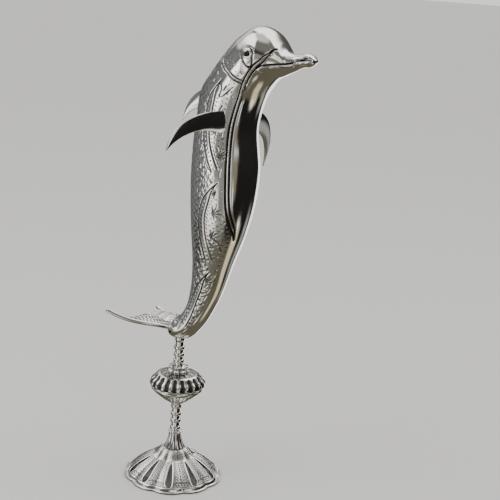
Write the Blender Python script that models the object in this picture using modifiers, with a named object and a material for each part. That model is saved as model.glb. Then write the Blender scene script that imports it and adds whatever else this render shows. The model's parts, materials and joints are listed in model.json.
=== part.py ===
"""Dolphin figurine of silvery sheet metal, standing on its tail on a beaded stem and a pierced foot.

Frame: metres, +Z up. The belly and the beak face +X, the dolphin's right flank faces -Y, and the
foot stands on Z = 0. Every piece hangs from one empty on the stem's axis, and that empty is moved
so that the middle of the whole figurine's footprint lies at the origin.
"""

import math
from typing import NamedTuple

import bmesh
import bpy
import numpy as np
from mathutils import Matrix, Vector

MM = 0.001

# Fit between two pieces that touch
SEAT_GAP = 0.3 * MM

# Foot: a pierced dome of sheet with a scalloped rim
FOOT_RADIUS = 55.0 * MM  # middle line of the scalloped edge
DOME_HEIGHT = 27.0 * MM
DOME_CROWN_RADIUS = 14.0 * MM  # the dome alone would be level up to here
BOSS_RISE = 7.3 * MM  # the round boss on the dome, which carries the trumpet
BOSS_TOP_RADIUS = 12.8 * MM
BOSS_RADIUS = 24.0 * MM  # where the boss runs out into the dome
FOOT_HEIGHT = DOME_HEIGHT + BOSS_RISE
FOOT_WALL = 1.8 * MM
FOOT_ROUNDNESS = 1.6
FOOT_LOBES = 10
FOOT_LOBE_REACH = 1.5 * MM  # how far a lobe's edge stands out of the middle line
FOOT_LOBE_SWELL = 1.6 * MM  # how far a lobe swells above the dome
FOOT_LOBE_TURN = math.radians(-62.0)
RIM_WIDTH = 3.6 * MM
RIM_STEP = 2.4 * MM  # height of the dome's lower edge over the rim
SLOT_LENGTH = 25.0 * MM
SLOT_WIDTH = 6.8 * MM
SLOT_MARGIN = 5.4 * MM  # from a slot's outer end to the scalloped edge

# Stem: tubes with beads, the lower one on a fluted trumpet
TUBE_RADIUS = 4.8 * MM
BEAD_RADIUS = 6.4 * MM
BEAD_WIDTH = 4.6 * MM
LOWER_STEM_LENGTH = 53.1 * MM
LOWER_BEADS_START = 3.8 * MM  # the first bead's middle over the trumpet
LOWER_BEADS_END = 3.0 * MM  # the last bead's middle under the stem's upper end
LOWER_BEAD_SHARES = (0.0, 9.0 / 26.6, 17.3 / 26.6, 1.0)  # of the way from the first to the last
TRUMPET_HEIGHT = 19.7 * MM
TRUMPET_RADIUS = 12.5 * MM
TRUMPET_FLARE = 2.2  # 1 would be a cone, and more is more hollow
TRUMPET_THROAT_RADIUS = 7.2 * MM
TRUMPET_LIP_RADIUS = 7.8 * MM
TRUMPET_FLUTES = 10
TRUMPET_FLUTE_DEPTH = 1.5 * MM
UPPER_STEM_LENGTH = 40.8 * MM
UPPER_BEADS_START = 2.6 * MM  # the first bead's middle over the collar
UPPER_BEADS_END = 11.4 * MM  # the last bead's middle under the stem's upper end
UPPER_BEAD_SHARES = (0.0, 4.8 / 20.8, 12.6 / 20.8, 1.0)
COLLAR_RADIUS = 11.4 * MM
COLLAR_HEIGHT = 6.0 * MM
COLLAR_LEAVES = 8
COLLAR_LEAF_DEPTH = 1.6 * MM

# Knop: two fluted bowls soldered rim to rim
KNOP_RADIUS = 31.6 * MM  # at the upper bowl's widest
KNOP_SEAM_RADIUS = 29.2 * MM
KNOP_CONE_RADIUS = 27.0 * MM  # halfway up the narrowing part
KNOP_SHOULDER_RADIUS = 23.6 * MM
KNOP_TOP_RADIUS = 14.0 * MM
KNOP_DEPTH = 19.8 * MM  # from the seam down to the lower stem
KNOP_RISE = 18.0 * MM  # from the seam up to the upper stem
KNOP_FLUTES = 20
KNOP_FLUTE_DEPTH = 1.3 * MM
KNOP_SEAM_WIDTH = 1.2 * MM

# Dolphin: its pose, proportions and carving are shares of its height
FIGURE_HEIGHT = 352.4 * MM
PLATE_BAND_WIDTH = 7.2 * MM  # the two chased lines along the belly plate, and the bead between them
WAVE_BAND_WIDTH = 8.6 * MM
COLLAR_BAND_WIDTH = 5.6 * MM
GROOVE_DEPTH = 1.0 * MM
MOUTH_DEPTH = 1.1 * MM
EYE_RING_RADIUS = 5.4 * MM
EYE_RING_WIRE = 0.9 * MM
PUPIL_RADIUS = 2.4 * MM
FIN_EDGE = 1.2 * MM  # thickness of a fin's edge
FLIPPER_THICKNESS = 4.2 * MM
DORSAL_THICKNESS = 3.6 * MM
FLUKE_THICKNESS = 5.0 * MM

SILVER = (0.86, 0.85, 0.82)
SILVER_WORN = (0.78, 0.76, 0.72)


class Station(NamedTuple):
    """A section of the body. Lengths are shares of the figure's height, angles degrees from the belly."""

    back: tuple  # x and z of the section's back edge
    belly: tuple  # x and z of its belly edge
    half_width: float
    inner: float  # the mouth line on the head, a line inside the belly plate below it
    border: float  # the belly plate's border, which runs on as the crease over the beak


BODY = (
    Station((-0.031, 0.040), (-0.033, 0.017), 0.022, 20.0, 40.0),
    Station((-0.024, 0.053), (-0.024, 0.006), 0.037, 20.0, 40.0),
    Station((-0.014, 0.067), (-0.008, 0.000), 0.045, 20.0, 40.0),
    Station((0.007, 0.085), (0.036, 0.007), 0.047, 20.0, 40.0),
    Station((0.023, 0.110), (0.071, 0.042), 0.047, 20.0, 40.0),
    Station((0.037, 0.169), (0.129, 0.141), 0.047, 20.0, 40.0),
    Station((0.041, 0.269), (0.172, 0.264), 0.061, 14.0, 30.0),
    Station((0.034, 0.362), (0.206, 0.362), 0.079, 12.0, 27.0),
    Station((0.028, 0.453), (0.228, 0.453), 0.092, 22.0, 50.0),
    Station((0.025, 0.561), (0.238, 0.561), 0.098, 28.0, 57.0),
    Station((0.032, 0.712), (0.226, 0.712), 0.089, 24.0, 53.0),
    Station((0.049, 0.813), (0.250, 0.797), 0.091, 26.0, 53.0),
    Station((0.077, 0.856), (0.267, 0.826), 0.092, 34.0, 58.5),
    Station((0.116, 0.911), (0.282, 0.845), 0.091, 48.0, 63.0),
    Station((0.165, 0.967), (0.296, 0.855), 0.089, 62.0, 67.0),
    Station((0.226, 1.000), (0.311, 0.862), 0.082, 59.0, 73.5),
    Station((0.281, 0.989), (0.324, 0.869), 0.066, 60.0, 92.0),
    Station((0.314, 0.962), (0.336, 0.875), 0.050, 67.0, 124.0),
    Station((0.326, 0.940), (0.347, 0.881), 0.037, 76.0, 146.0),
    Station((0.339, 0.930), (0.359, 0.888), 0.028, 83.0, 146.0),
    Station((0.360, 0.930), (0.373, 0.893), 0.024, 89.0, 140.0),
    Station((0.382, 0.935), (0.391, 0.896), 0.027, 84.0, 130.0),
    Station((0.401, 0.928), (0.405, 0.904), 0.020, 86.0, 130.0),
    Station((0.411, 0.918), (0.411, 0.912), 0.006, 90.0, 130.0),
)
PLATE_START = 7  # the station at the belly plate's pointed lower end
COLLAR_STATION = 13
MOUTH_STATION = 14
CREASE_END = 18

TAIL_PLACE = 0.0093  # the tail's end along the body, counted from the fluke's hollow
EYE_PLACE = 1.014  # along the body
EYE_ANGLE = 91.0

COLLAR_DROP = 0.040  # how far the collar runs lower at the belly plate, as a share of the height
COLLAR_RISE = 0.020  # and higher on the back
COLLAR_REACH = 0.170

WAVE_TOP = 0.602  # along the body, where the upper wave comes down to the belly plate
WAVE_LENGTH = 0.292
WAVE_LEAN = 0.85  # under 1, a wave's crest lies nearer to its upper end
WAVE_FULLNESS = 0.85
WAVE_CREST_SHARE = 0.42
WAVE_NEAR = 11.0  # degrees between the plate's border and the lowest point of a wave
WAVE_FAR_ANGLE = 101.0
LINE_DEPTHS = np.array([0.0, 1.0, -0.3, 1.0, 0.0])
BORDER_OFFSETS = np.array([-0.5, -0.25, 0.0, 0.25, 0.5])
WAVE_OFFSETS = np.array([-0.5, -0.34, 0.0, 0.34, 0.5])


def reset_scene():
    """Empty the scene and make the two collections."""
    for obj in list(bpy.data.objects):
        bpy.data.objects.remove(obj, do_unlink=True)
    collections = []
    for name in ("dolphin_figurine", "cutters"):
        collection = bpy.data.collections.new(name)
        bpy.context.scene.collection.children.link(collection)
        collections.append(collection)
    return collections


def metal(name, colour, roughness):
    """A polished metal with the given colour."""
    material = bpy.data.materials.new(name)
    material.use_nodes = True
    shader = material.node_tree.nodes["Principled BSDF"]
    shader.inputs["Base Color"].default_value = (*colour, 1.0)
    shader.inputs["Metallic"].default_value = 1.0
    shader.inputs["Roughness"].default_value = roughness
    return material


def smooth(keys, values, at):
    """Values between hand-set ones: cubic stretches whose slopes at each key are its neighbours'."""
    values = np.asarray(values, dtype=float)
    slopes = np.gradient(values, keys, axis=0)
    i = np.clip(np.searchsorted(keys, at, side="right") - 1, 0, len(keys) - 2)
    step = keys[i + 1] - keys[i]
    t = (at - keys[i]) / step
    if values.ndim > 1:
        step, t = step[:, None], t[:, None]
    ahead = values[i + 1] - values[i]
    start, end = slopes[i] * step, slopes[i + 1] * step
    return values[i] + t * (start + t * (3 * ahead - 2 * start - end + t * (start + end - 2 * ahead)))


def ramp(low, high, value):
    """0 below low, 1 above high, and a smooth step between."""
    t = np.clip((value - low) / (high - low), 0.0, 1.0)
    return t * t * (3.0 - 2.0 * t)


def bezier(points, t):
    """Points at shares t of a curve with any number of control points."""
    points = np.asarray(points, dtype=float)
    last = len(points) - 1
    weights = [math.comb(last, k) * t**k * (1 - t) ** (last - k) for k in range(last + 1)]
    return np.stack(weights, axis=1) @ points


def rings_mesh(name, rings):
    """A closed mesh through a stack of rings, each (columns, 3), with a flat face at either end."""
    rows, columns, _ = rings.shape
    mesh = bpy.data.meshes.new(name)
    shape = bmesh.new()
    grid = [[shape.verts.new(point) for point in ring] for ring in rings]
    for lower, upper in zip(grid, grid[1:]):
        for k in range(columns):
            after = (k + 1) % columns
            shape.faces.new((lower[k], lower[after], upper[after], upper[k]))
    shape.faces.new(reversed(grid[0]))
    shape.faces.new(grid[-1])
    bmesh.ops.recalc_face_normals(shape, faces=shape.faces)
    shape.to_mesh(mesh)
    shape.free()
    mesh.shade_smooth()
    mesh.set_sharp_from_angle(angle=math.radians(40))
    return mesh


def add_piece(name, mesh, collection, root, material, height=0.0):
    """An object for one piece, on the stem's axis at a height."""
    obj = bpy.data.objects.new(name, mesh)
    collection.objects.link(obj)
    obj.parent = root
    obj.location.z = height
    mesh.materials.append(material)
    return obj


def as_guide(obj):
    """Keep an operand out of renders and show it as a wire."""
    obj.hide_render = True
    obj.display_type = "WIRE"
    return obj


def boolean(obj, other, operation):
    """Cut another object out of obj, or join it on."""
    modifier = obj.modifiers.new(f"{operation.lower()}_{other.name}", "BOOLEAN")
    modifier.operation = operation
    modifier.solver = "EXACT"
    modifier.object = other


# Foot

def dome_height(radius):
    """Height of the foot's outside at a radius: a level boss, then the dome falling to the rim."""
    outer = FOOT_RADIUS - RIM_WIDTH
    share = np.clip((radius - DOME_CROWN_RADIUS) / (outer - DOME_CROWN_RADIUS), 0.0, 1.0)
    low = FOOT_WALL + RIM_STEP
    dome = low + (DOME_HEIGHT - low) * (1.0 - share**FOOT_ROUNDNESS)
    return dome + BOSS_RISE * (1.0 - ramp(BOSS_TOP_RADIUS, BOSS_RADIUS, radius))


def foot_rows():
    """Radii of the foot's rings, and the half width of a slot at each, outwards from the crown."""
    slot_end = FOOT_RADIUS - SLOT_MARGIN
    slot_start = slot_end - SLOT_LENGTH
    boss_side = 0.5 * (BOSS_TOP_RADIUS + BOSS_RADIUS)
    crown = [(radius, 0.0) for radius in (0.4 * BOSS_TOP_RADIUS, BOSS_TOP_RADIUS, boss_side)]
    # a slot is pointed inwards and blunt outwards
    along = np.array([0.0, 0.25, 0.55, 0.85, 1.0])
    halves = 0.5 * SLOT_WIDTH * np.array([0.12, 0.6, 0.92, 1.0, 0.5])
    slot = list(zip(slot_start + along * SLOT_LENGTH, halves))
    rim = FOOT_RADIUS - RIM_WIDTH
    edge = [(rim + share * RIM_WIDTH, 0.0) for share in (0.0, 0.3, 0.6, 1.0)]
    return crown + slot + edge


def make_foot(collection, root, material):
    """The pierced dome: an open surface of ten swelling lobes, each with a slot, given its wall."""
    rows = foot_rows()
    rim = FOOT_RADIUS - RIM_WIDTH
    narrowest = min(half for _, half in rows if half > 0.0)
    pitch = math.tau / FOOT_LOBES
    shape = bmesh.new()
    grid = []
    for radius, half in rows:
        ring = []
        slot_angle = (half or narrowest) / radius
        for lobe in range(FOOT_LOBES):
            middle = FOOT_LOBE_TURN + lobe * pitch
            for offset in (-0.5 * pitch, -0.29 * pitch, -slot_angle, slot_angle, 0.29 * pitch):
                swell = 1.0 - (2.0 * offset / pitch) ** 2
                outwards = min(radius / rim, 1.0) ** 2
                reach = FOOT_LOBE_REACH * (2.0 * swell - 1.0) * outwards
                if radius > rim + 0.1 * RIM_WIDTH:
                    height = FOOT_WALL
                else:
                    height = dome_height(radius) + FOOT_LOBE_SWELL * swell * outwards * (1.0 - outwards**4)
                angle = middle + offset
                along = radius + reach
                ring.append(shape.verts.new((along * math.cos(angle), along * math.sin(angle), height)))
        grid.append(ring)
    columns = len(grid[0])
    per_lobe = columns // FOOT_LOBES
    for row, (lower, upper) in enumerate(zip(grid, grid[1:])):
        pierced = rows[row][1] > 0.0 and rows[row + 1][1] > 0.0
        for k in range(columns):
            if pierced and k % per_lobe == 2:
                continue
            after = (k + 1) % columns
            shape.faces.new((lower[k], upper[k], upper[after], lower[after]))
    shape.faces.new(grid[0])
    mesh = bpy.data.meshes.new("foot")
    shape.to_mesh(mesh)
    shape.free()
    mesh.shade_smooth()
    foot = add_piece("foot", mesh, collection, root, material)
    wall = foot.modifiers.new("wall", "SOLIDIFY")
    wall.thickness = FOOT_WALL
    wall.offset = -1.0
    return foot


# Stem and knop

def beads(profile_bottom, profile_top, first, last, shares):
    """Profile (radius, height) of a plain tube with round beads, spread from the first to the last."""
    points = [(TUBE_RADIUS, profile_bottom)]
    for share in shares:
        place = first + share * (last - first)
        for across in (-0.5, -0.25, 0.25, 0.5):
            bulge = math.sqrt(max(1.0 - (2.0 * across) ** 2, 0.0))
            points.append((TUBE_RADIUS + (BEAD_RADIUS - TUBE_RADIUS) * bulge, place + across * BEAD_WIDTH))
    points.append((TUBE_RADIUS, profile_top))
    return [(radius, height, 0.0) for radius, height in points]


def fluted_rings(profile, flutes, per_flute):
    """Rings through a profile of (radius, height, flute depth): each flute is a rounded rib."""
    columns = flutes * per_flute
    angles = np.arange(columns) * math.tau / columns
    groove = 0.5 - 0.5 * np.cos(flutes * angles)
    rings = []
    for radius, height, depth in profile:
        radii = radius - depth * groove
        rings.append(np.stack([radii * np.cos(angles), radii * np.sin(angles), np.full(columns, height)], 1))
    return np.array(rings)


def make_lower_stem(collection, root, material):
    """The fluted trumpet on the dome's crown, its small flared lip, and the beaded tube above."""
    throat = TRUMPET_THROAT_RADIUS
    profile = []
    for share in (0.0, 0.1, 0.28, 0.55, 0.9):
        flare = (1.0 - share) ** TRUMPET_FLARE
        depth = TRUMPET_FLUTE_DEPTH * min(1.0, 3.0 * flare + 0.4)
        profile.append((throat + (TRUMPET_RADIUS - throat) * flare, share * TRUMPET_HEIGHT, depth))
    profile.append((TRUMPET_LIP_RADIUS, TRUMPET_HEIGHT, 0.5 * TRUMPET_FLUTE_DEPTH))
    profile.append((TRUMPET_LIP_RADIUS - 0.6 * MM, TRUMPET_HEIGHT + 0.8 * MM, 0.3 * TRUMPET_FLUTE_DEPTH))
    first, last = TRUMPET_HEIGHT + LOWER_BEADS_START, LOWER_STEM_LENGTH - LOWER_BEADS_END
    profile += beads(TRUMPET_HEIGHT + 1.2 * MM, LOWER_STEM_LENGTH, first, last, LOWER_BEAD_SHARES)
    mesh = rings_mesh("lower_stem", fluted_rings(profile, TRUMPET_FLUTES, 2))
    return add_piece("lower_stem", mesh, collection, root, material, FOOT_HEIGHT + SEAT_GAP)


def make_knop(collection, root, material, height):
    """The fluted knop: a bulging upper bowl with a flat top, a plain seam, and a shallow lower bowl."""
    neck = TUBE_RADIUS + 1.0 * MM
    wide, depth = KNOP_RADIUS, KNOP_FLUTE_DEPTH
    profile = [(neck, 0.0, 0.0)]
    for share in (0.3, 0.7):
        bowl = neck + (KNOP_SEAM_RADIUS - neck) * share**0.85
        profile.append((bowl, share * (KNOP_DEPTH - KNOP_SEAM_WIDTH), 0.7 * depth))
    profile.append((KNOP_SEAM_RADIUS, KNOP_DEPTH - KNOP_SEAM_WIDTH, 0.0))
    profile.append((KNOP_SEAM_RADIUS + 0.7 * MM, KNOP_DEPTH, 0.0))
    above = KNOP_RISE - KNOP_SEAM_WIDTH
    for radius, share, flute in (
        (KNOP_SEAM_RADIUS, 0.0, 0.0),
        (wide - 0.5 * MM, 0.12, depth),
        (wide, 0.34, depth),
        (KNOP_CONE_RADIUS, 0.68, depth),
        (KNOP_SHOULDER_RADIUS, 0.9, 0.5 * depth),
        (KNOP_TOP_RADIUS, 1.0, 0.0),
    ):
        profile.append((radius, KNOP_DEPTH + KNOP_SEAM_WIDTH + share * above, flute))
    mesh = rings_mesh("knop", fluted_rings(profile, KNOP_FLUTES, 3))
    return add_piece("knop", mesh, collection, root, material, height)


def make_upper_stem(collection, root, material, height):
    """The leafy collar on the knop and the beaded tube that carries the figure."""
    profile = [
        (COLLAR_RADIUS - 1.2 * MM, 0.0, COLLAR_LEAF_DEPTH),
        (COLLAR_RADIUS, 0.2 * COLLAR_HEIGHT, COLLAR_LEAF_DEPTH),
        (0.6 * COLLAR_RADIUS + 0.4 * TUBE_RADIUS, 0.6 * COLLAR_HEIGHT, 0.6 * COLLAR_LEAF_DEPTH),
        (TUBE_RADIUS + 0.8 * MM, COLLAR_HEIGHT, 0.0),
    ]
    first, last = COLLAR_HEIGHT + UPPER_BEADS_START, UPPER_STEM_LENGTH - UPPER_BEADS_END
    profile += beads(COLLAR_HEIGHT + 0.3 * MM, UPPER_STEM_LENGTH, first, last, UPPER_BEAD_SHARES)
    seat = profile.pop()
    profile.append((seat[0] + 0.8 * MM, UPPER_STEM_LENGTH - 3.0 * MM, 0.0))
    profile.append((seat[0] + 0.8 * MM, UPPER_STEM_LENGTH + 4.0 * MM, 0.0))
    mesh = rings_mesh("upper_stem", fluted_rings(profile, COLLAR_LEAVES, 2))
    return add_piece("upper_stem", mesh, collection, root, material, height)


# Body

class BodyForm:
    """The body's skin: sections between a back line and a belly line, with the chased lines along it."""

    def __init__(self):
        backs = np.array([station.back for station in BODY]) * FIGURE_HEIGHT
        bellies = np.array([station.belly for station in BODY]) * FIGURE_HEIGHT
        steps = np.linalg.norm(np.diff(backs, axis=0), axis=1) + np.linalg.norm(np.diff(bellies, axis=0), axis=1)
        self.keys = TAIL_PLACE * FIGURE_HEIGHT + np.concatenate([[0.0], np.cumsum(0.5 * steps)])
        widths = np.array([station.half_width for station in BODY]) * FIGURE_HEIGHT
        angles = np.array([(station.inner, station.border) for station in BODY])
        self.table = np.column_stack([backs, bellies, widths, angles])

    def section(self, places):
        """Middle, half depth, half width and the two guide angles of the sections at the places."""
        values = smooth(self.keys, self.table, places.ravel()).reshape(*places.shape, -1)
        back, belly = values[..., 0:2], values[..., 2:4]
        return (back + belly) / 2, (back - belly) / 2, values[..., 4], values[..., 5], values[..., 6]

    def skin(self, places, angles, depth=0.0):
        """Points at angles in degrees round the body, sunk by a depth."""
        middle, half, width, _, _ = self.section(places)
        across, up = np.sin(np.radians(angles)), -np.cos(np.radians(angles))
        tall = np.linalg.norm(half, axis=-1)
        # the outward direction of an ellipse with these two half axes
        normal_y, normal_up = across * tall, up * width
        length = np.hypot(normal_y, normal_up)
        shift = up - depth * normal_up / length / tall
        x, z = (middle[..., axis] + half[..., axis] * shift for axis in range(2))
        return np.stack([x, depth * normal_y / length - width * across, z], axis=-1)

    def tilted(self, places, angles):
        """Places of a ring's points when the rings near the collar lean as it does."""
        collar, reach = self.keys[COLLAR_STATION], COLLAR_REACH * FIGURE_HEIGHT
        near = ramp(collar - reach, collar, places) * (1.0 - ramp(collar, collar + reach, places))
        backwards = np.clip((angles - 60.0) / 120.0, 0.0, 1.0)
        lean = (COLLAR_DROP + COLLAR_RISE) * backwards - COLLAR_DROP
        return places + near * lean * FIGURE_HEIGHT

    def wave(self, places, border):
        """Angle of the wave line: arches that rise from the plate's border, and a straight top end."""
        share = (WAVE_TOP * FIGURE_HEIGHT - places) / (WAVE_LENGTH * FIGURE_HEIGHT)
        share = np.where(share < 0.0, np.maximum(1.0 + share, WAVE_CREST_SHARE), share % 1.0)
        swing = np.sin(math.pi * share**WAVE_LEAN) ** WAVE_FULLNESS
        near = np.maximum(border, WAVE_FAR_ANGLE / 2.0) + WAVE_NEAR
        return near + (WAVE_FAR_ANGLE - near) * swing


def body_rows(form):
    """Places of the body's rings: one at each meeting of two waves, and five over the collar."""
    collar = form.keys[COLLAR_STATION]
    half = 0.5 * COLLAR_BAND_WIDTH
    upper = WAVE_TOP * FIGURE_HEIGHT
    lower = upper - WAVE_LENGTH * FIGURE_HEIGHT
    tail_end = form.keys[0]
    rounded_end = tail_end + 0.03 * (lower - tail_end)
    tail = np.concatenate([[tail_end, rounded_end], np.linspace(tail_end, lower, 12)[1:]])
    return np.concatenate(
        [
            tail,
            np.linspace(lower, upper, 12)[1:],
            np.linspace(upper, collar - half, 12)[1:-1],
            collar + COLLAR_BAND_WIDTH * BORDER_OFFSETS,
            np.linspace(collar + half, form.keys[-1], 18)[1:],
        ]
    )


def body_rings(form):
    """The body's rings, with columns that follow the plate's border and the waves."""
    rows = body_rows(form)
    keys = form.keys
    _, _, _, _, rough_border = form.section(rows)
    places = form.tilted(rows, rough_border)
    _, half, width, inner, border = form.section(places)
    radius = 0.5 * (np.linalg.norm(half, axis=1) + width)
    plate = ramp(keys[PLATE_START] - 0.02 * FIGURE_HEIGHT, keys[PLATE_START] + 0.02 * FIGURE_HEIGHT, places)
    plate *= 1.0 - ramp(keys[CREASE_END - 1], keys[CREASE_END], places)
    mouth = ramp(keys[MOUTH_STATION - 1], keys[MOUTH_STATION], places)
    mouth *= 1.0 - ramp(keys[-3], keys[-2], places)

    def band(middle, offsets, band_width, fade):
        spread = np.degrees(band_width / (radius + 0.25 * band_width))
        return middle[:, None] + (spread * (0.3 + 0.7 * fade))[:, None] * offsets

    border_band = band(border, BORDER_OFFSETS, PLATE_BAND_WIDTH, plate)
    inner = np.minimum(inner, border_band[:, 0] - 2.5)

    wave_places = form.tilted(rows, np.full(len(rows), WAVE_FAR_ANGLE))
    waving = ramp(keys[1], keys[3], wave_places)
    waving *= 1.0 - ramp(keys[COLLAR_STATION - 1], keys[COLLAR_STATION] - 0.5 * COLLAR_BAND_WIDTH, rows)
    on_head = ramp(keys[COLLAR_STATION], keys[COLLAR_STATION + 3], rows)
    wave_middle = form.wave(wave_places, border) * (1.0 - on_head) + on_head * (border + 180.0) / 2.0
    wave_band = band(wave_middle, WAVE_OFFSETS, WAVE_BAND_WIDTH, waving)
    wave_band += np.maximum(border_band[:, -1:] + 2.0 - wave_band[:, :1], 0.0)

    def between(start, end, count):
        shares = np.arange(1, count + 1) / (count + 1)
        return start[:, None] + (end - start)[:, None] * shares

    belly = np.zeros(len(rows))
    back = np.full(len(rows), 180.0)
    angles = [
        belly[:, None],
        between(belly, inner, 1),
        inner[:, None],
        between(inner, border_band[:, 0], 1),
        border_band,
        between(border_band[:, -1], wave_band[:, 0], 1),
        wave_band,
        between(wave_band[:, -1], back, 3),
        back[:, None],
    ]
    depths = [np.zeros_like(group) for group in angles]
    depths[2][:] = mouth[:, None] * MOUTH_DEPTH
    depths[4][:] = plate[:, None] * GROOVE_DEPTH * LINE_DEPTHS
    depths[6][:] = waving[:, None] * GROOVE_DEPTH * LINE_DEPTHS
    collar_lines = keys[COLLAR_STATION] + COLLAR_BAND_WIDTH * BORDER_OFFSETS
    collar = np.interp(rows, collar_lines, LINE_DEPTHS, left=0.0, right=0.0)
    for group in depths[5:]:
        group += GROOVE_DEPTH * collar[:, None]

    angles = np.concatenate(angles, axis=1)
    places = form.tilted(np.broadcast_to(rows[:, None], angles.shape), angles)
    right = form.skin(places, angles, np.concatenate(depths, axis=1))
    left = right[:, -2:0:-1] * np.array([1.0, -1.0, 1.0])
    return np.concatenate([right, left], axis=1)


def grown_copy(obj, gap, collection):
    """A copy of a closed object with its skin moved out by a gap, to cut what seats on it."""
    mesh = obj.data.copy()
    shape = bmesh.new()
    shape.from_mesh(mesh)
    for vertex in shape.verts:
        vertex.co += vertex.normal * gap
    shape.to_mesh(mesh)
    shape.free()
    copy = bpy.data.objects.new(f"{obj.name}_seat", mesh)
    collection.objects.link(copy)
    copy.parent = obj.parent
    copy.location = obj.location
    return as_guide(copy)


def make_body(collection, root, material, height):
    """The body as one hollow-formed skin, here solid."""
    form = BodyForm()
    mesh = rings_mesh("dolphin_body", body_rings(form))
    return add_piece("dolphin_body", mesh, collection, root, material, height), form


def add_eyes(body, form, cutters):
    """A ring and a pupil on each side of the head, joined to the body."""
    place = np.array([EYE_PLACE * FIGURE_HEIGHT, (EYE_PLACE + 0.001) * FIGURE_HEIGHT])
    near = form.skin(place, np.array([EYE_ANGLE, EYE_ANGLE]))
    above = form.skin(place[:1], np.array([EYE_ANGLE + 1.0]))
    centre = near[0]
    outward = Vector(np.cross(above[0] - centre, near[1] - centre)).normalized()
    if outward.y > 0:
        outward = -outward
    for side in (1.0, -1.0):
        normal = Vector((outward.x, side * outward.y, outward.z))
        spot = Vector((centre[0], side * centre[1], centre[2]))
        facing = normal.to_track_quat("Z", "Y").to_matrix().to_4x4()
        bpy.ops.mesh.primitive_torus_add(
            major_radius=EYE_RING_RADIUS, minor_radius=EYE_RING_WIRE, major_segments=14, minor_segments=5
        )
        ring = bpy.context.active_object
        bpy.ops.mesh.primitive_uv_sphere_add(radius=PUPIL_RADIUS, segments=10, ring_count=6)
        pupil = bpy.context.active_object
        for obj, label in ((ring, "eye_ring"), (pupil, "pupil")):
            obj.name = f"{label}_{'right' if side > 0 else 'left'}"
            obj.data.transform(Matrix.Translation(spot) @ facing)
            for collection in list(obj.users_collection):
                collection.objects.unlink(obj)
            cutters.objects.link(obj)
            obj.parent = body.parent
            obj.location = body.location
            as_guide(obj)
            boolean(body, obj, "UNION")


# Fins

def blade_mesh(name, lead, trail, thickness, columns):
    """A fin between two edge lines, (rows, 3) each: a lens in section, with blunt edges."""
    chord = trail - lead
    span = np.gradient((lead + trail) / 2, axis=0)
    normal = np.cross(chord, span)
    normal /= np.linalg.norm(normal, axis=1)[:, None]
    across = np.linspace(0.0, 1.0, columns)
    bulge = np.sin(math.pi * across) ** 0.8
    rings = []
    for start, along, up, thick in zip(lead, chord, normal, thickness):
        half = 0.5 * (min(FIN_EDGE, thick) + (thick - min(FIN_EDGE, thick)) * bulge)
        line = start + across[:, None] * along
        rings.append(np.concatenate([line + half[:, None] * up, (line - half[:, None] * up)[::-1]]))
    return rings_mesh(name, np.array(rings))


FLIPPER_RIGHT = (
    ((0.170, -0.065, 0.752), (0.150, -0.130, 0.757), (0.085, -0.222, 0.745), (0.078, -0.246, 0.645)),
    ((0.164, -0.065, 0.678), (0.145, -0.125, 0.706), (0.105, -0.195, 0.705), (0.080, -0.246, 0.640)),
)
FLIPPER_LEFT = (
    ((0.185, 0.062, 0.745), (0.205, 0.145, 0.735), (0.178, 0.206, 0.640), (0.139, 0.220, 0.556)),
    ((0.168, 0.062, 0.678), (0.180, 0.120, 0.685), (0.166, 0.178, 0.640), (0.137, 0.219, 0.551)),
)
DORSAL_FIN = (
    ((0.060, 0.0, 0.808), (0.000, 0.0, 0.788), (-0.028, 0.0, 0.745), (-0.031, 0.0, 0.694)),
    ((0.060, 0.0, 0.738), (0.016, 0.0, 0.744), (-0.014, 0.0, 0.728), (-0.031, 0.0, 0.690)),
)
FLUKE_LEAD = ((-0.008, 0.0), (-0.012, 0.078), (-0.105, 0.125), (-0.187, 0.142))
FLUKE_TRAIL = ((-0.120, 0.0), (-0.100, 0.060), (-0.113, 0.106), (-0.191, 0.142))
FLUKE_HEIGHT = 0.027
FLUKE_SLOPE = 0.29
FLUKE_TWIST = 0.195
FLUKE_DROOP = 0.018
FLUKE_CURL = 0.006  # how far the lobes swing up near the tail and down before their tips


def make_fin(name, edges, thickness, collection, root, material, height, seat):
    """A fin from its two edge curves, cut where it meets the body."""
    t = np.linspace(0.0, 1.0, 10)
    lead, trail = (bezier(edge, t) * FIGURE_HEIGHT for edge in edges)
    thick = thickness * np.sqrt(1.0 - 0.8 * t)
    mesh = blade_mesh(name, lead, trail, thick, 6)
    fin = add_piece(name, mesh, collection, root, material, height)
    boolean(fin, seat, "DIFFERENCE")
    return fin


def make_fluke(collection, root, material, height, seat):
    """The two-lobed tail fluke, from the right tip across the tail to the left tip."""
    side = np.linspace(-1.0, 1.0, 19)
    reach = np.abs(side)
    lead, trail = (bezier(edge, reach) for edge in (FLUKE_LEAD, FLUKE_TRAIL))

    def raised(edge):
        across = edge[:, 1] * np.sign(side)
        rise = FLUKE_SLOPE * (-0.03 - edge[:, 0]) - FLUKE_TWIST * across - FLUKE_DROOP * reach**2
        rise += FLUKE_CURL * np.sin(math.tau * reach)
        return np.stack([edge[:, 0], across, FLUKE_HEIGHT + rise], axis=1) * FIGURE_HEIGHT

    thick = FLUKE_THICKNESS * np.sqrt(1.0 - 0.85 * reach**2)
    mesh = blade_mesh("tail_fluke", raised(lead), raised(trail), thick, 7)
    fluke = add_piece("tail_fluke", mesh, collection, root, material, height)
    boolean(fluke, seat, "DIFFERENCE")
    return fluke


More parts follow.
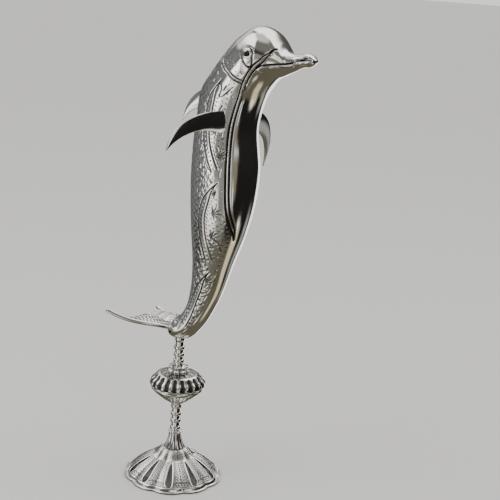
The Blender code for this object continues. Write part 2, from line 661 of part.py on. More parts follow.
def centre_on_footprint(root, pieces):
    """Move the empty so that the middle of the box around all pieces lies on the Z axis."""
    bpy.context.view_layer.update()
    depsgraph = bpy.context.evaluated_depsgraph_get()
    points = []
    for piece in pieces:
        seen = piece.evaluated_get(depsgraph)
        points += [seen.matrix_world @ vertex.co for vertex in seen.data.vertices]
    low = [min(point[axis] for point in points) for axis in range(2)]
    high = [max(point[axis] for point in points) for axis in range(2)]
    root.location.x -= (low[0] + high[0]) / 2
    root.location.y -= (low[1] + high[1]) / 2


def main():
    """Build the figurine from the foot up."""
    parts, cutters = reset_scene()
    root = bpy.data.objects.new("stem_axis", None)
    parts.objects.link(root)
    polished = metal("polished_silver_metal", SILVER, 0.12)
    chased = metal("chased_silver_metal", SILVER_WORN, 0.28)

    foot = make_foot(parts, root, chased)
    lower = make_lower_stem(parts, root, polished)
    knop_height = FOOT_HEIGHT + LOWER_STEM_LENGTH + 2 * SEAT_GAP
    knop = make_knop(parts, root, polished, knop_height)
    upper_height = knop_height + KNOP_DEPTH + KNOP_RISE + SEAT_GAP
    upper = make_upper_stem(parts, root, polished, upper_height)
    figure_height = upper_height + UPPER_STEM_LENGTH + SEAT_GAP
    body, form = make_body(parts, root, polished, figure_height)
    seat = grown_copy(body, SEAT_GAP, cutters)
    add_eyes(body, form, cutters)
    boolean(upper, seat, "DIFFERENCE")
    fins = [
        make_fin("flipper_right", FLIPPER_RIGHT, FLIPPER_THICKNESS, parts, root, polished, figure_height, seat),
        make_fin("flipper_left", FLIPPER_LEFT, FLIPPER_THICKNESS, parts, root, polished, figure_height, seat),
        make_fin("dorsal_fin", DORSAL_FIN, DORSAL_THICKNESS, parts, root, polished, figure_height, seat),
        make_fluke(parts, root, chased, figure_height, seat),
    ]
    centre_on_footprint(root, [foot, lower, knop, upper, body, *fins])


main()
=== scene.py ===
"""Looks of a dolphin figurine: silver-plated sheet brass, chased by hand and polished.

The dolphin stands on its tail on a beaded stem with a fluted knop and a pierced, scalloped dome
foot. Lengths in the classes are millimetres, and the meshes are in metres in the frame's own axes:
+Z up, the belly and the beak towards +X, the right flank towards -Y.
"""

import json
import logging
import math
from dataclasses import dataclass
from enum import Enum
from typing import Callable, NamedTuple, Sequence

import bpy
import numpy as np
from mathutils import Matrix, Vector

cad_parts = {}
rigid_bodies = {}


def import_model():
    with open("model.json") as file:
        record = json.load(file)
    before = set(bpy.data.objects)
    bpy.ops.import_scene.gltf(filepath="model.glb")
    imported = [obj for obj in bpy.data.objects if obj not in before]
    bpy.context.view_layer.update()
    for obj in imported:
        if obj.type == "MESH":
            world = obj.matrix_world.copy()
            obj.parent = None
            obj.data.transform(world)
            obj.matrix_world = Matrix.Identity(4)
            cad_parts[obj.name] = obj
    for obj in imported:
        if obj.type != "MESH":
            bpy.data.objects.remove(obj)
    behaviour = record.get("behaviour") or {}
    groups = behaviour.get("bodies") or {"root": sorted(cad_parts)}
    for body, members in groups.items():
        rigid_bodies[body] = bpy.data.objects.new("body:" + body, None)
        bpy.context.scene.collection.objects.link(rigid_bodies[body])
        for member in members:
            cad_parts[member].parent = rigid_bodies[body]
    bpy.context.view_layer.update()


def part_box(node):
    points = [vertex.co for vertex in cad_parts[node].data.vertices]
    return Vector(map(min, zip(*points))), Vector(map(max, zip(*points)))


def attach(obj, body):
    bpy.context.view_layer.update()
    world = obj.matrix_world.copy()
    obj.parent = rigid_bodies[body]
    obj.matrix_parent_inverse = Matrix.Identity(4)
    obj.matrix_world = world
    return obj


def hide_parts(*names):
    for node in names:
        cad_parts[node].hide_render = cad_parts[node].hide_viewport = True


for leftover in list(bpy.data.objects):
    bpy.data.objects.remove(leftover)
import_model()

LOG = logging.getLogger("dolphin")
MM = 0.001
SEAT_GAP = 0.3  # between one piece of the stem and the next, as in the frame
FIGURE_HEIGHT = 352.4  # of the dolphin alone, over its seat on the stem
TUBE_RADIUS = 4.8
BEAD_RADIUS = 6.4
BEAD_WIDTH = 4.6
DARK = "chased"  # the point attribute that says how dark each point is: oxide left in the chasing, and painted shade in recesses


# Numbers and curves

def linear(colour: str) -> tuple[float, float, float, float]:
    """Turn an sRGB hex colour into linear light.

    Args:
        colour: six hex digits after a hash sign.

    Returns:
        Red, green, blue and an alpha of 1.
    """
    channels = (int(colour[k : k + 2], 16) / 255 for k in (1, 3, 5))
    return (*(c / 12.92 if c <= 0.04045 else ((c + 0.055) / 1.055) ** 2.4 for c in channels), 1.0)


def ramp(low: float, high: float, value: np.ndarray) -> np.ndarray:
    """Step smoothly from 0 at low to 1 at high.

    Args:
        low: where the step starts.
        high: where it ends.
        value: the numbers to look up.

    Returns:
        3t^2 - 2t^3 for the share t of the way, held at 0 and 1 outside.
    """
    t = np.clip((value - low) / (high - low), 0.0, 1.0)
    return t * t * (3.0 - 2.0 * t)


def smooth(keys: np.ndarray, values: np.ndarray, at: np.ndarray) -> np.ndarray:
    """Read given values between their keys: cubic stretches with the neighbours' slope at each key.

    Args:
        keys: rising places of the values.
        values: one row for each key.
        at: places to read.

    Returns:
        The values at those places.
    """
    keys, values = np.asarray(keys, dtype=float), np.asarray(values, dtype=float)
    slopes = np.gradient(values, keys, axis=0)
    i = np.clip(np.searchsorted(keys, at, side="right") - 1, 0, len(keys) - 2)
    step = keys[i + 1] - keys[i]
    t = np.clip((at - keys[i]) / step, 0.0, 1.0)
    if values.ndim > 1:
        step, t = step[:, None], t[:, None]
    ahead = values[i + 1] - values[i]
    start, end = slopes[i] * step, slopes[i + 1] * step
    return values[i] + t * (start + t * (3 * ahead - 2 * start - end + t * (start + end - 2 * ahead)))


def bezier(points: Sequence[Sequence[float]], t: np.ndarray) -> np.ndarray:
    """Follow a Bezier curve: control points weighted by the binomial terms of t and 1 - t.

    Args:
        points: control points.
        t: shares of the way along the curve.

    Returns:
        One point for each share.
    """
    control = np.asarray(points, dtype=float)
    last = len(control) - 1
    weights = [math.comb(last, k) * t**k * (1 - t) ** (last - k) for k in range(last + 1)]
    return np.stack(weights, axis=1) @ control


def steps(*stretches: tuple[float, float, int]) -> np.ndarray:
    """Even steps over several stretches, each (start, end, count), with no place twice."""
    return np.unique(np.concatenate([np.linspace(*stretch) for stretch in stretches]).round(6))


def run_of(path: np.ndarray) -> np.ndarray:
    """How far along a path each of its points lies: the running sum of its steps' lengths."""
    return np.concatenate([[0.0], np.cumsum(np.linalg.norm(np.diff(path, axis=0), axis=1))])


def groove(distance: np.ndarray, width: float | np.ndarray) -> np.ndarray:
    """Section of a cut: 1 within a fifth of its width from the middle, fading to 0 at half of it."""
    return 1.0 - ramp(0.2, 0.5, np.abs(distance) / width)


# Surfaces

@dataclass
class Surface:
    """A grid of points (rows, columns, 3) whose columns close on themselves, and how dark each is."""

    points: np.ndarray
    dark: np.ndarray | None = None
    sharp_angle: float | None = None

    def normals(self) -> np.ndarray:
        """Find the outward directions: the cross product of the steps along the columns and the rows.

        Returns:
            One unit vector for each point, (rows, columns, 3).
        """
        across = np.roll(self.points, -1, axis=1) - np.roll(self.points, 1, axis=1)
        along = np.gradient(self.points, axis=0)
        normal = np.cross(across, along)
        normal /= np.maximum(np.linalg.norm(normal, axis=-1, keepdims=True), 1e-9)
        outward = self.points - self.points.mean(axis=1, keepdims=True)
        return normal * np.sign(np.sum(normal * outward))

    def closed(self) -> tuple[np.ndarray, np.ndarray, np.ndarray]:
        """Close both ends of the grid with a pole.

        Returns:
            The points, the quads, and the triangles that fan round the two poles.
        """
        rows, columns, _ = self.points.shape
        index = np.arange(rows * columns).reshape(rows, columns)
        after = np.roll(index, -1, axis=1)
        quads = np.stack([index[:-1], after[:-1], after[1:], index[1:]], axis=-1).reshape(-1, 4)
        poles = np.stack([self.points[0].mean(axis=0), self.points[-1].mean(axis=0)])
        first, last = rows * columns, rows * columns + 1
        start = np.stack([after[0], index[0], np.full(columns, first)], axis=-1)
        end = np.stack([index[-1], after[-1], np.full(columns, last)], axis=-1)
        return np.concatenate([self.points.reshape(-1, 3), poles]), quads, np.concatenate([start, end])

    def mesh(self, name: str) -> bpy.types.Mesh:
        """Make the closed mesh in metres, its faces pointing out.

        Args:
            name: the mesh's name.

        Returns:
            A smooth-shaded mesh with the darkness of the chasing, and of the painted shade, on its points.
        """
        points, quads, fans = self.closed()
        a, b, c = (points[quads[:, k]] for k in (0, 1, 2))
        d = points[quads[:, 3]]
        volume = np.sum(np.cross(a, b) * c) + np.sum(np.cross(a, c) * d)
        if volume < 0:
            quads, fans = quads[:, ::-1], fans[:, ::-1]
        shape = bpy.data.meshes.new(name)
        shape.from_pydata((points * MM).tolist(), [], quads.tolist() + fans.tolist())
        dark = np.zeros(len(points))
        if self.dark is not None:
            dark[: self.dark.size] = self.dark.ravel()
        write_dark(shape, dark)
        if self.sharp_angle is not None:
            shape.set_sharp_from_angle(angle=math.radians(self.sharp_angle))
        return shape


def write_dark(shape: bpy.types.Mesh, dark: np.ndarray) -> None:
    """Shade a mesh smooth and store how dark its chasing is at each point.

    Args:
        shape: the mesh.
        dark: 0 for bright metal to 1 for the darkest, for oxide in lines and painted shade alike, for each
            point.
    """
    shape.shade_smooth()
    attribute = shape.attributes.new(DARK, "FLOAT", "POINT")
    attribute.data.foreach_set("value", dark.astype(np.float32))


class Cut(NamedTuple):
    """A groove or a stroke; under 0 the depth makes it a raised bead."""

    width: float
    depth: float
    dark: float = 1.0  # how dark it is left: 0 is bright


class Dots(NamedTuple):
    """A row of punched dots."""

    pitch: float
    radius: float
    depth: float
    dark: float = 1.0


class Barbs(NamedTuple):
    """Slanting cuts to both sides of a line, as on a feather."""

    reach: float  # how far out they go
    pitch: float
    lean: float  # how far a cut runs on for each step outwards
    cut: Cut


class Strokes(NamedTuple):
    """Short curved strokes that fill a zone, one in each cell of staggered rows."""

    cell: tuple[float, float]  # length and width
    size: tuple[float, float]  # length and width of a stroke
    turn: tuple[float, float]  # their mean angle in degrees, and the swing to either side
    depth: float
    dark: float
    shift: tuple[float, float] = (0.0, 0.0)  # of the cells, lengthways and across


@dataclass
class Chasing:
    """Marks driven into a skin with hammer and punch: how far each point is sunk, and how dark it is."""

    points: np.ndarray
    normals: np.ndarray

    def __post_init__(self) -> None:
        """Start with a bare skin."""
        self.sunk = np.zeros(len(self.points))
        self.dark = np.zeros(len(self.points))

    @classmethod
    def on(cls, surface: Surface) -> "Chasing":
        """Start on a surface's points."""
        return cls(surface.points.reshape(-1, 3), surface.normals().reshape(-1, 3))

    def ribbon(self, path: np.ndarray, reach: float) -> tuple[np.ndarray, np.ndarray, np.ndarray]:
        """Measure the skin's points against a path laid on it, segment by segment.

        Args:
            path: points of the path, (count, 3).
            reach: how far to either side to look.

        Returns:
            The indices of the points in reach, their distance across the path (signed by side), and
            their distance along it.
        """
        best = np.full(len(self.points), np.inf)
        across, along = np.zeros(len(self.points)), np.zeros(len(self.points))
        run = 0.0
        for start, end in zip(path, path[1:]):
            low, high = np.minimum(start, end) - reach, np.maximum(start, end) + reach
            near = np.flatnonzero(np.all((self.points > low) & (self.points < high), axis=1))
            line = end - start
            length = float(np.linalg.norm(line))
            if length < 1e-6 or not near.size:
                run += length
                continue
            offset = self.points[near] - start
            share = np.clip(offset @ line / length**2, 0.0, 1.0)
            gap = offset - share[:, None] * line
            distance = np.linalg.norm(gap, axis=1)
            closer = distance < best[near]
            hit = near[closer]
            best[hit] = distance[closer]
            side = np.sum(np.cross(line, gap[closer]) * self.normals[hit], axis=1)
            across[hit] = np.copysign(distance[closer], side)
            along[hit] = run + share[closer] * length
            run += length
        found = np.flatnonzero(best < reach)
        return found, across[found], along[found]

    def press(self, found: np.ndarray, shape: np.ndarray, depth: float, dark: float = 1.0) -> None:
        """Sink points by a depth where shape is 1, keeping the deeper of two marks.

        Args:
            found: indices of the points.
            shape: 0 to 1 for each of them.
            depth: how deep, or under 0 for a raised bead.
            dark: how dark the bottom of the mark is left.
        """
        if depth < 0:
            self.sunk[found] += depth * shape
            return
        self.sunk[found] = np.maximum(self.sunk[found], depth * shape)
        self.dark[found] = np.maximum(self.dark[found], dark * shape**1.3)

    def grooves(self, path: np.ndarray, cut: Cut, offsets: Sequence[float] = (0.0,)) -> None:
        """Cut grooves alongside a path.

        Args:
            path: the guide line.
            cut: the groove.
            offsets: where the grooves run, to either side of the path.
        """
        found, across, _ = self.ribbon(path, max(abs(offset) for offset in offsets) + cut.width)
        for offset in offsets:
            self.press(found, groove(across - offset, cut.width), cut.depth, cut.dark)

    def dots(self, path: np.ndarray, row: Dots, offset: float = 0.0) -> None:
        """Punch a row of dots alongside a path, one at every pitch along it.

        Args:
            path: the guide line.
            row: the dots.
            offset: the row's distance to the side.
        """
        found, across, along = self.ribbon(path, abs(offset) + 1.5 * row.radius)
        distance = np.hypot(across - offset, along % row.pitch - 0.5 * row.pitch)
        self.press(found, 1.0 - ramp(0.45 * row.radius, row.radius, distance), row.depth, row.dark)

    def stroke(self, path: np.ndarray, cut: Cut) -> None:
        """Cut one stroke along a path, widest at 0.4 of its length and pointed at both ends.

        The swell over the share s of the length is the root of the sine of s^0.75 half turns.

        Args:
            path: the stroke's middle line.
            cut: its width and depth at the widest.
        """
        found, across, along = self.ribbon(path, cut.width)
        share = np.clip(along / run_of(path)[-1], 0.0, 1.0)
        swell = np.sin(math.pi * share**0.75) ** 0.5
        half = cut.width * np.maximum(0.5 * swell, 0.3)
        shape = 1.0 - ramp(0.25, 1.0, np.abs(across) / half)
        self.press(found, shape * (0.4 + 0.6 * swell), cut.depth, cut.dark)

    def feather(self, path: np.ndarray, barbs: Barbs) -> None:
        """Cut slanting strokes to both sides of a path.

        A point lies on a stroke where its distance along, less lean times its distance out, is a
        whole number of pitches. The strokes start clear of the path and fade at their outer ends.

        Args:
            path: the feather's quill.
            barbs: the strokes.
        """
        found, across, along = self.ribbon(path, barbs.reach)
        out = np.abs(across)
        phase = (along - barbs.lean * out) % barbs.pitch
        distance = np.minimum(phase, barbs.pitch - phase) / math.hypot(1.0, barbs.lean)
        share = out / barbs.reach
        shape = groove(distance, barbs.cut.width) * ramp(0.12, 0.25, share) * (1.0 - ramp(0.8, 1.0, share))
        self.press(found, shape, barbs.cut.depth, barbs.cut.dark)

    def field(self, along: np.ndarray, across: np.ndarray, where: np.ndarray, strokes: Strokes) -> None:
        """Fill a zone with short curved strokes.

        A stroke is where (a / half length)^2 + (b / half width)^2 stays under 1, with a and b the
        distances along and across it, b bent by a^2. Its turn comes from the cell's own numbers.

        Args:
            along: each point's distance along the piece.
            across: each point's distance round it.
            where: 1 in the zone, 0 outside.
            strokes: their cells, size, turn and depth.
        """
        (cell_length, cell_width), (length, width) = strokes.cell, strokes.size
        along, across = along + strokes.shift[0], across + strokes.shift[1]
        column = np.floor(across / cell_width)
        staggered = along / cell_length + 0.5 * (column % 2)
        row = np.floor(staggered)
        noise = np.sin(12.99 * row + 78.23 * column) * 4375.85
        chance = noise - np.floor(noise)
        x = (staggered - row - 0.5) * cell_length
        y = across - (column + 0.5) * cell_width
        angle = np.radians(strokes.turn[0] + strokes.turn[1] * (2.0 * chance - 1.0))
        a = x * np.cos(angle) + y * np.sin(angle)
        b = y * np.cos(angle) - x * np.sin(angle) + (chance - 0.5) * a * a / length
        inside = 1.0 - (2.0 * a / length) ** 2 - (2.0 * b / width) ** 2
        shape = np.sqrt(np.clip(inside, 0.0, 1.0)) * where
        self.press(np.arange(len(self.points)), shape, strokes.depth, strokes.dark)

    def result(self, surface: Surface, fade: np.ndarray | float = 1.0) -> Surface:
        """Sink the surface along its normals by the marks.

        Args:
            surface: the bare surface that the marks were made on.
            fade: 0 where marks are left out to 1 where they are whole.

        Returns:
            The chased surface with its darkness.
        """
        grid = surface.points.shape[:2]
        sunk = self.sunk.reshape(grid) * fade
        points = surface.points - sunk[..., None] * self.normals.reshape(*grid, 3)
        return Surface(points, self.dark.reshape(grid) * fade, surface.sharp_angle)


# Finishes

def add_node(
    tree: bpy.types.NodeTree, kind: str, settings: dict[str, object], links: dict[str, bpy.types.NodeSocket]
) -> bpy.types.Node:
    """Add a node, set it up and link its inputs.

    Args:
        tree: the node tree.
        kind: the node's type name.
        settings: values by the name of an input socket, or of a property of the node.
        links: output sockets by the name of the input that they go into.

    Returns:
        The new node.
    """
    node = tree.nodes.new(kind)
    for name, value in settings.items():
        if hasattr(node, name):
            setattr(node, name, value)
        else:
            node.inputs[name].default_value = value
    for name, source in links.items():
        key = int(name) if name.isdigit() else name
        tree.links.new(source, node.inputs[key])
    return node


@dataclass(frozen=True)
class SilverPlate:
    """Silver plated brass, polished with a mop: a near mirror with faint haze and hairline scratches.

    The plate is a cool, nearly white metal, a little yellower where the polish has thinned it. Lines
    and punch marks keep a brown-black oxide that the mop doesn't reach; the same colour paints shade and
    dark reflections in recesses, such as the knop's flute hollows, the foot's creases and the open beak's
    tip.
    """

    name: str = "silver_plate_polished"
    colour: str = "#f4f2ee"
    thin_colour: str = "#e6dcc4"
    # colour of the oxide in the lines, also used for painted shade in recesses
    oxide_and_shade: str = "#1d1a17"
    roughness: float = 0.07
    haze: float = 0.07
    oxide_roughness: float = 0.5
    thin_share: float = 0.35
    cloud_size: float = 28.0  # of the patches where the polish has thinned the plate
    scratch_size: float = 0.5  # width of the mop's hairlines, coarser than they are, so that they show
    scratch_height: float = 0.006
    scratch_stretch: float = 0.06  # they run along a slanting upright, so many times finer across
    scratch_turn: tuple[float, float, float] = (0.5, 0.3, 0.0)
    dent_size: float = 16.0  # slow waves that hammering leaves in the sheet
    dent_height: float = 0.08

    def material(self) -> bpy.types.Material:
        """Build the material: a metal whose tint, gloss and relief vary with the place on the piece.

        Returns:
            The material.
        """
        made = bpy.data.materials.new(self.name)
        made.use_nodes = True
        tree = made.node_tree
        shader = tree.nodes["Principled BSDF"]
        place = add_node(tree, "ShaderNodeTexCoord", {}, {}).outputs["Object"]
        chased = add_node(tree, "ShaderNodeAttribute", {"attribute_name": DARK}, {}).outputs["Fac"]

        clouds = add_node(
            tree, "ShaderNodeTexNoise", {"Scale": 1000 / self.cloud_size, "Detail": 3.0, "Roughness": 0.6},
            {"Vector": place},
        )
        thin = add_node(
            tree, "ShaderNodeMapRange",
            {"From Min": 0.5, "From Max": 0.75, "To Min": 0.0, "To Max": self.thin_share},
            {"Value": clouds.outputs["Fac"]},
        )
        plate = add_node(tree, "ShaderNodeMix", {"data_type": "RGBA"}, {"0": thin.outputs["Result"]})
        plate.inputs[6].default_value = linear(self.colour)
        plate.inputs[7].default_value = linear(self.thin_colour)
        tint = add_node(tree, "ShaderNodeMix", {"data_type": "RGBA"}, {"0": chased, "6": plate.outputs[2]})
        tint.inputs[7].default_value = linear(self.oxide_and_shade)

        gloss = add_node(
            tree, "ShaderNodeMapRange",
            {
                "From Min": 0.35, "From Max": 0.75,
                "To Min": self.roughness, "To Max": self.roughness + self.haze,
            },
            {"Value": clouds.outputs["Fac"]},
        )
        rough = add_node(
            tree, "ShaderNodeMix", {"data_type": "FLOAT"}, {"0": chased, "2": gloss.outputs["Result"]}
        )
        rough.inputs[3].default_value = self.oxide_roughness

        stretched = add_node(
            tree, "ShaderNodeMapping",
            {"Scale": (1.0, 1.0, self.scratch_stretch), "Rotation": self.scratch_turn}, {"Vector": place},
        )
        scratches = add_node(
            tree, "ShaderNodeTexNoise", {"Scale": 1000 / self.scratch_size, "Detail": 2.0},
            {"Vector": stretched.outputs["Vector"]},
        )
        dents = add_node(
            tree, "ShaderNodeTexNoise", {"Scale": 1000 / self.dent_size, "Detail": 1.0}, {"Vector": place}
        )
        waves = add_node(
            tree, "ShaderNodeBump", {"Strength": 1.0, "Distance": self.dent_height * MM},
            {"Height": dents.outputs["Fac"]},
        )
        relief = add_node(
            tree, "ShaderNodeBump", {"Strength": 1.0, "Distance": self.scratch_height * MM},
            {"Height": scratches.outputs["Fac"], "Normal": waves.outputs["Normal"]},
        )

        shader.inputs["Metallic"].default_value = 1.0
        tree.links.new(tint.outputs[2], shader.inputs["Base Color"])
        tree.links.new(rough.outputs[0], shader.inputs["Roughness"])
        tree.links.new(relief.outputs["Normal"], shader.inputs["Normal"])
        return made


# The stem, the fins and the eyes: smooth tube and thick sheet, which mirror the room with sharp edges.
POLISHED_PLATE = SilverPlate()

# The body: sheet raised with the hammer and then polished, so that its reflections waver.
HAMMERED_PLATE = SilverPlate(name="silver_plate_hammered", dent_size=17.0, dent_height=0.17)

# The foot and the fluke: chased all over, which breaks the mirror up into a satin sparkle.
CHASED_PLATE = SilverPlate(
    name="silver_plate_chased", roughness=0.14, haze=0.1, thin_share=0.5, dent_size=6.5, dent_height=0.16
)

# The dome's inside: bare brass taken almost black, part tarnish and part painted shade, which gives the
# pierced slots their depth.
TARNISH_AND_SHADE_BRASS = SilverPlate(
    name="tarnish_and_painted_shade_inside", colour="#14110d", thin_colour="#0c0a08", oxide_and_shade="#0a0806",
    roughness=0.6, haze=0.2,
)


@dataclass(frozen=True)
class BackdropPaper:
    """Pale matt paper: a soft, even surface with a barely visible tooth."""

    name: str = "pale_paper"
    colour: str = "#d9d8d4"
    shade: str = "#d2d1cc"
    tooth_size: float = 1.2
    roughness: float = 0.85

    def material(self) -> bpy.types.Material:
        """Build the material: two close greys mixed by fine noise.

        Returns:
            The material.
        """
        made = bpy.data.materials.new(self.name)
        made.use_nodes = True
        tree = made.node_tree
        place = add_node(tree, "ShaderNodeTexCoord", {}, {}).outputs["Object"]
        tooth = add_node(tree, "ShaderNodeTexNoise", {"Scale": 1000 / self.tooth_size}, {"Vector": place})
        mix = add_node(tree, "ShaderNodeMix", {"data_type": "RGBA"}, {"0": tooth.outputs["Fac"]})
        mix.inputs[6].default_value = linear(self.colour)
        mix.inputs[7].default_value = linear(self.shade)
        shader = tree.nodes["Principled BSDF"]
        shader.inputs["Roughness"].default_value = self.roughness
        tree.links.new(mix.outputs[2], shader.inputs["Base Color"])
        return made


class Slot(Enum):
    """The record's two finishes."""

    POLISHED = "polished_metal"
    CHASED = "chased_metal"


class Side(Enum):
    """A flank of the dolphin, and the sign of Y there."""

    RIGHT = -1.0
    LEFT = 1.0


@dataclass(frozen=True)
class Seat:
    """Where a piece stands: the stem's axis and the height of the piece's lower end."""

    x: float
    y: float
    z: float

    @classmethod
    def under(cls, node: str) -> "Seat":
        """Read the seat of a CAD node that stands on the stem's axis from the frame.

        Args:
            node: the node's name. The axis is the middle of the knop, whichever node is asked for.

        Returns:
            The seat.
        """
        low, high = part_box("knop")
        bottom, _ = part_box(node)
        return cls(0.5 * (low.x + high.x) / MM, 0.5 * (low.y + high.y) / MM, bottom.z / MM)

    def raised(self, height: float) -> "Seat":
        """The same seat, higher by a height."""
        return Seat(self.x, self.y, self.z + height)

    def of(self, points: np.ndarray) -> np.ndarray:
        """Points of a piece moved from its own axis to this seat."""
        return points + np.array([self.x, self.y, self.z])


@dataclass
class SubAssembly:
    """A piece or group of pieces that stands on one seat and shares a finish."""

    seat: Seat
    metal: bpy.types.Material

    def show(self, name: str, mesh: bpy.types.Mesh, slot: Slot, *nodes: str) -> bpy.types.Object:
        """Add a piece to the scene in place of its CAD nodes, and report it.

        Args:
            name: the piece's name.
            mesh: its mesh, already in place.
            slot: the record's finish that it takes; not used.
            nodes: the CAD nodes that it stands for.

        Returns:
            The piece.
        """
        piece = bpy.data.objects.new(name, mesh)
        bpy.context.scene.collection.objects.link(piece)
        mesh.materials.append(self.metal)
        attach(piece, "root")
        if nodes:
            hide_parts(*nodes)
        LOG.info("%s: %d points, %d faces", name, len(mesh.vertices), len(mesh.polygons))
        return piece


def turned(
    profile: np.ndarray, columns: int, waves: Callable[[np.ndarray, np.ndarray], np.ndarray]
) -> np.ndarray:
    """Turn a profile about the Z axis, its radius changed by a function of row and angle.

    Args:
        profile: rows of (radius, height).
        columns: how many points go round.
        waves: gives what is added to the radius from the row numbers (rows, 1) and angles (columns).

    Returns:
        Points (rows, columns, 3).
    """
    angles = np.arange(columns) * math.tau / columns
    radii = profile[:, :1] + waves(np.arange(len(profile))[:, None], angles)
    heights = np.broadcast_to(profile[:, 1:2], radii.shape)
    return np.stack([radii * np.cos(angles), radii * np.sin(angles), heights], axis=-1)


def beaded_tube(bottom: float, top: float, places: Sequence[float]) -> np.ndarray:
    """Profile of a tube with round beads: at each, the radius swells by a half ellipse.

    Args:
        bottom: height where the tube starts.
        top: height where it ends.
        places: heights of the beads' middles.

    Returns:
        Rows of (radius, height).
    """
    reach = 0.5 * BEAD_WIDTH + 0.1
    beads = ((place - reach, place + reach, 21) for place in places)
    heights = steps((bottom, top, int((top - bottom) / 0.9) + 2), *beads)
    share = np.min(np.abs(heights[:, None] - np.array(places)), axis=1) / (0.5 * BEAD_WIDTH)
    swell = np.sqrt(np.clip(1.0 - share**2, 0.0, 1.0))
    return np.column_stack([TUBE_RADIUS + (BEAD_RADIUS - TUBE_RADIUS) * swell, heights])


# Foot and stem

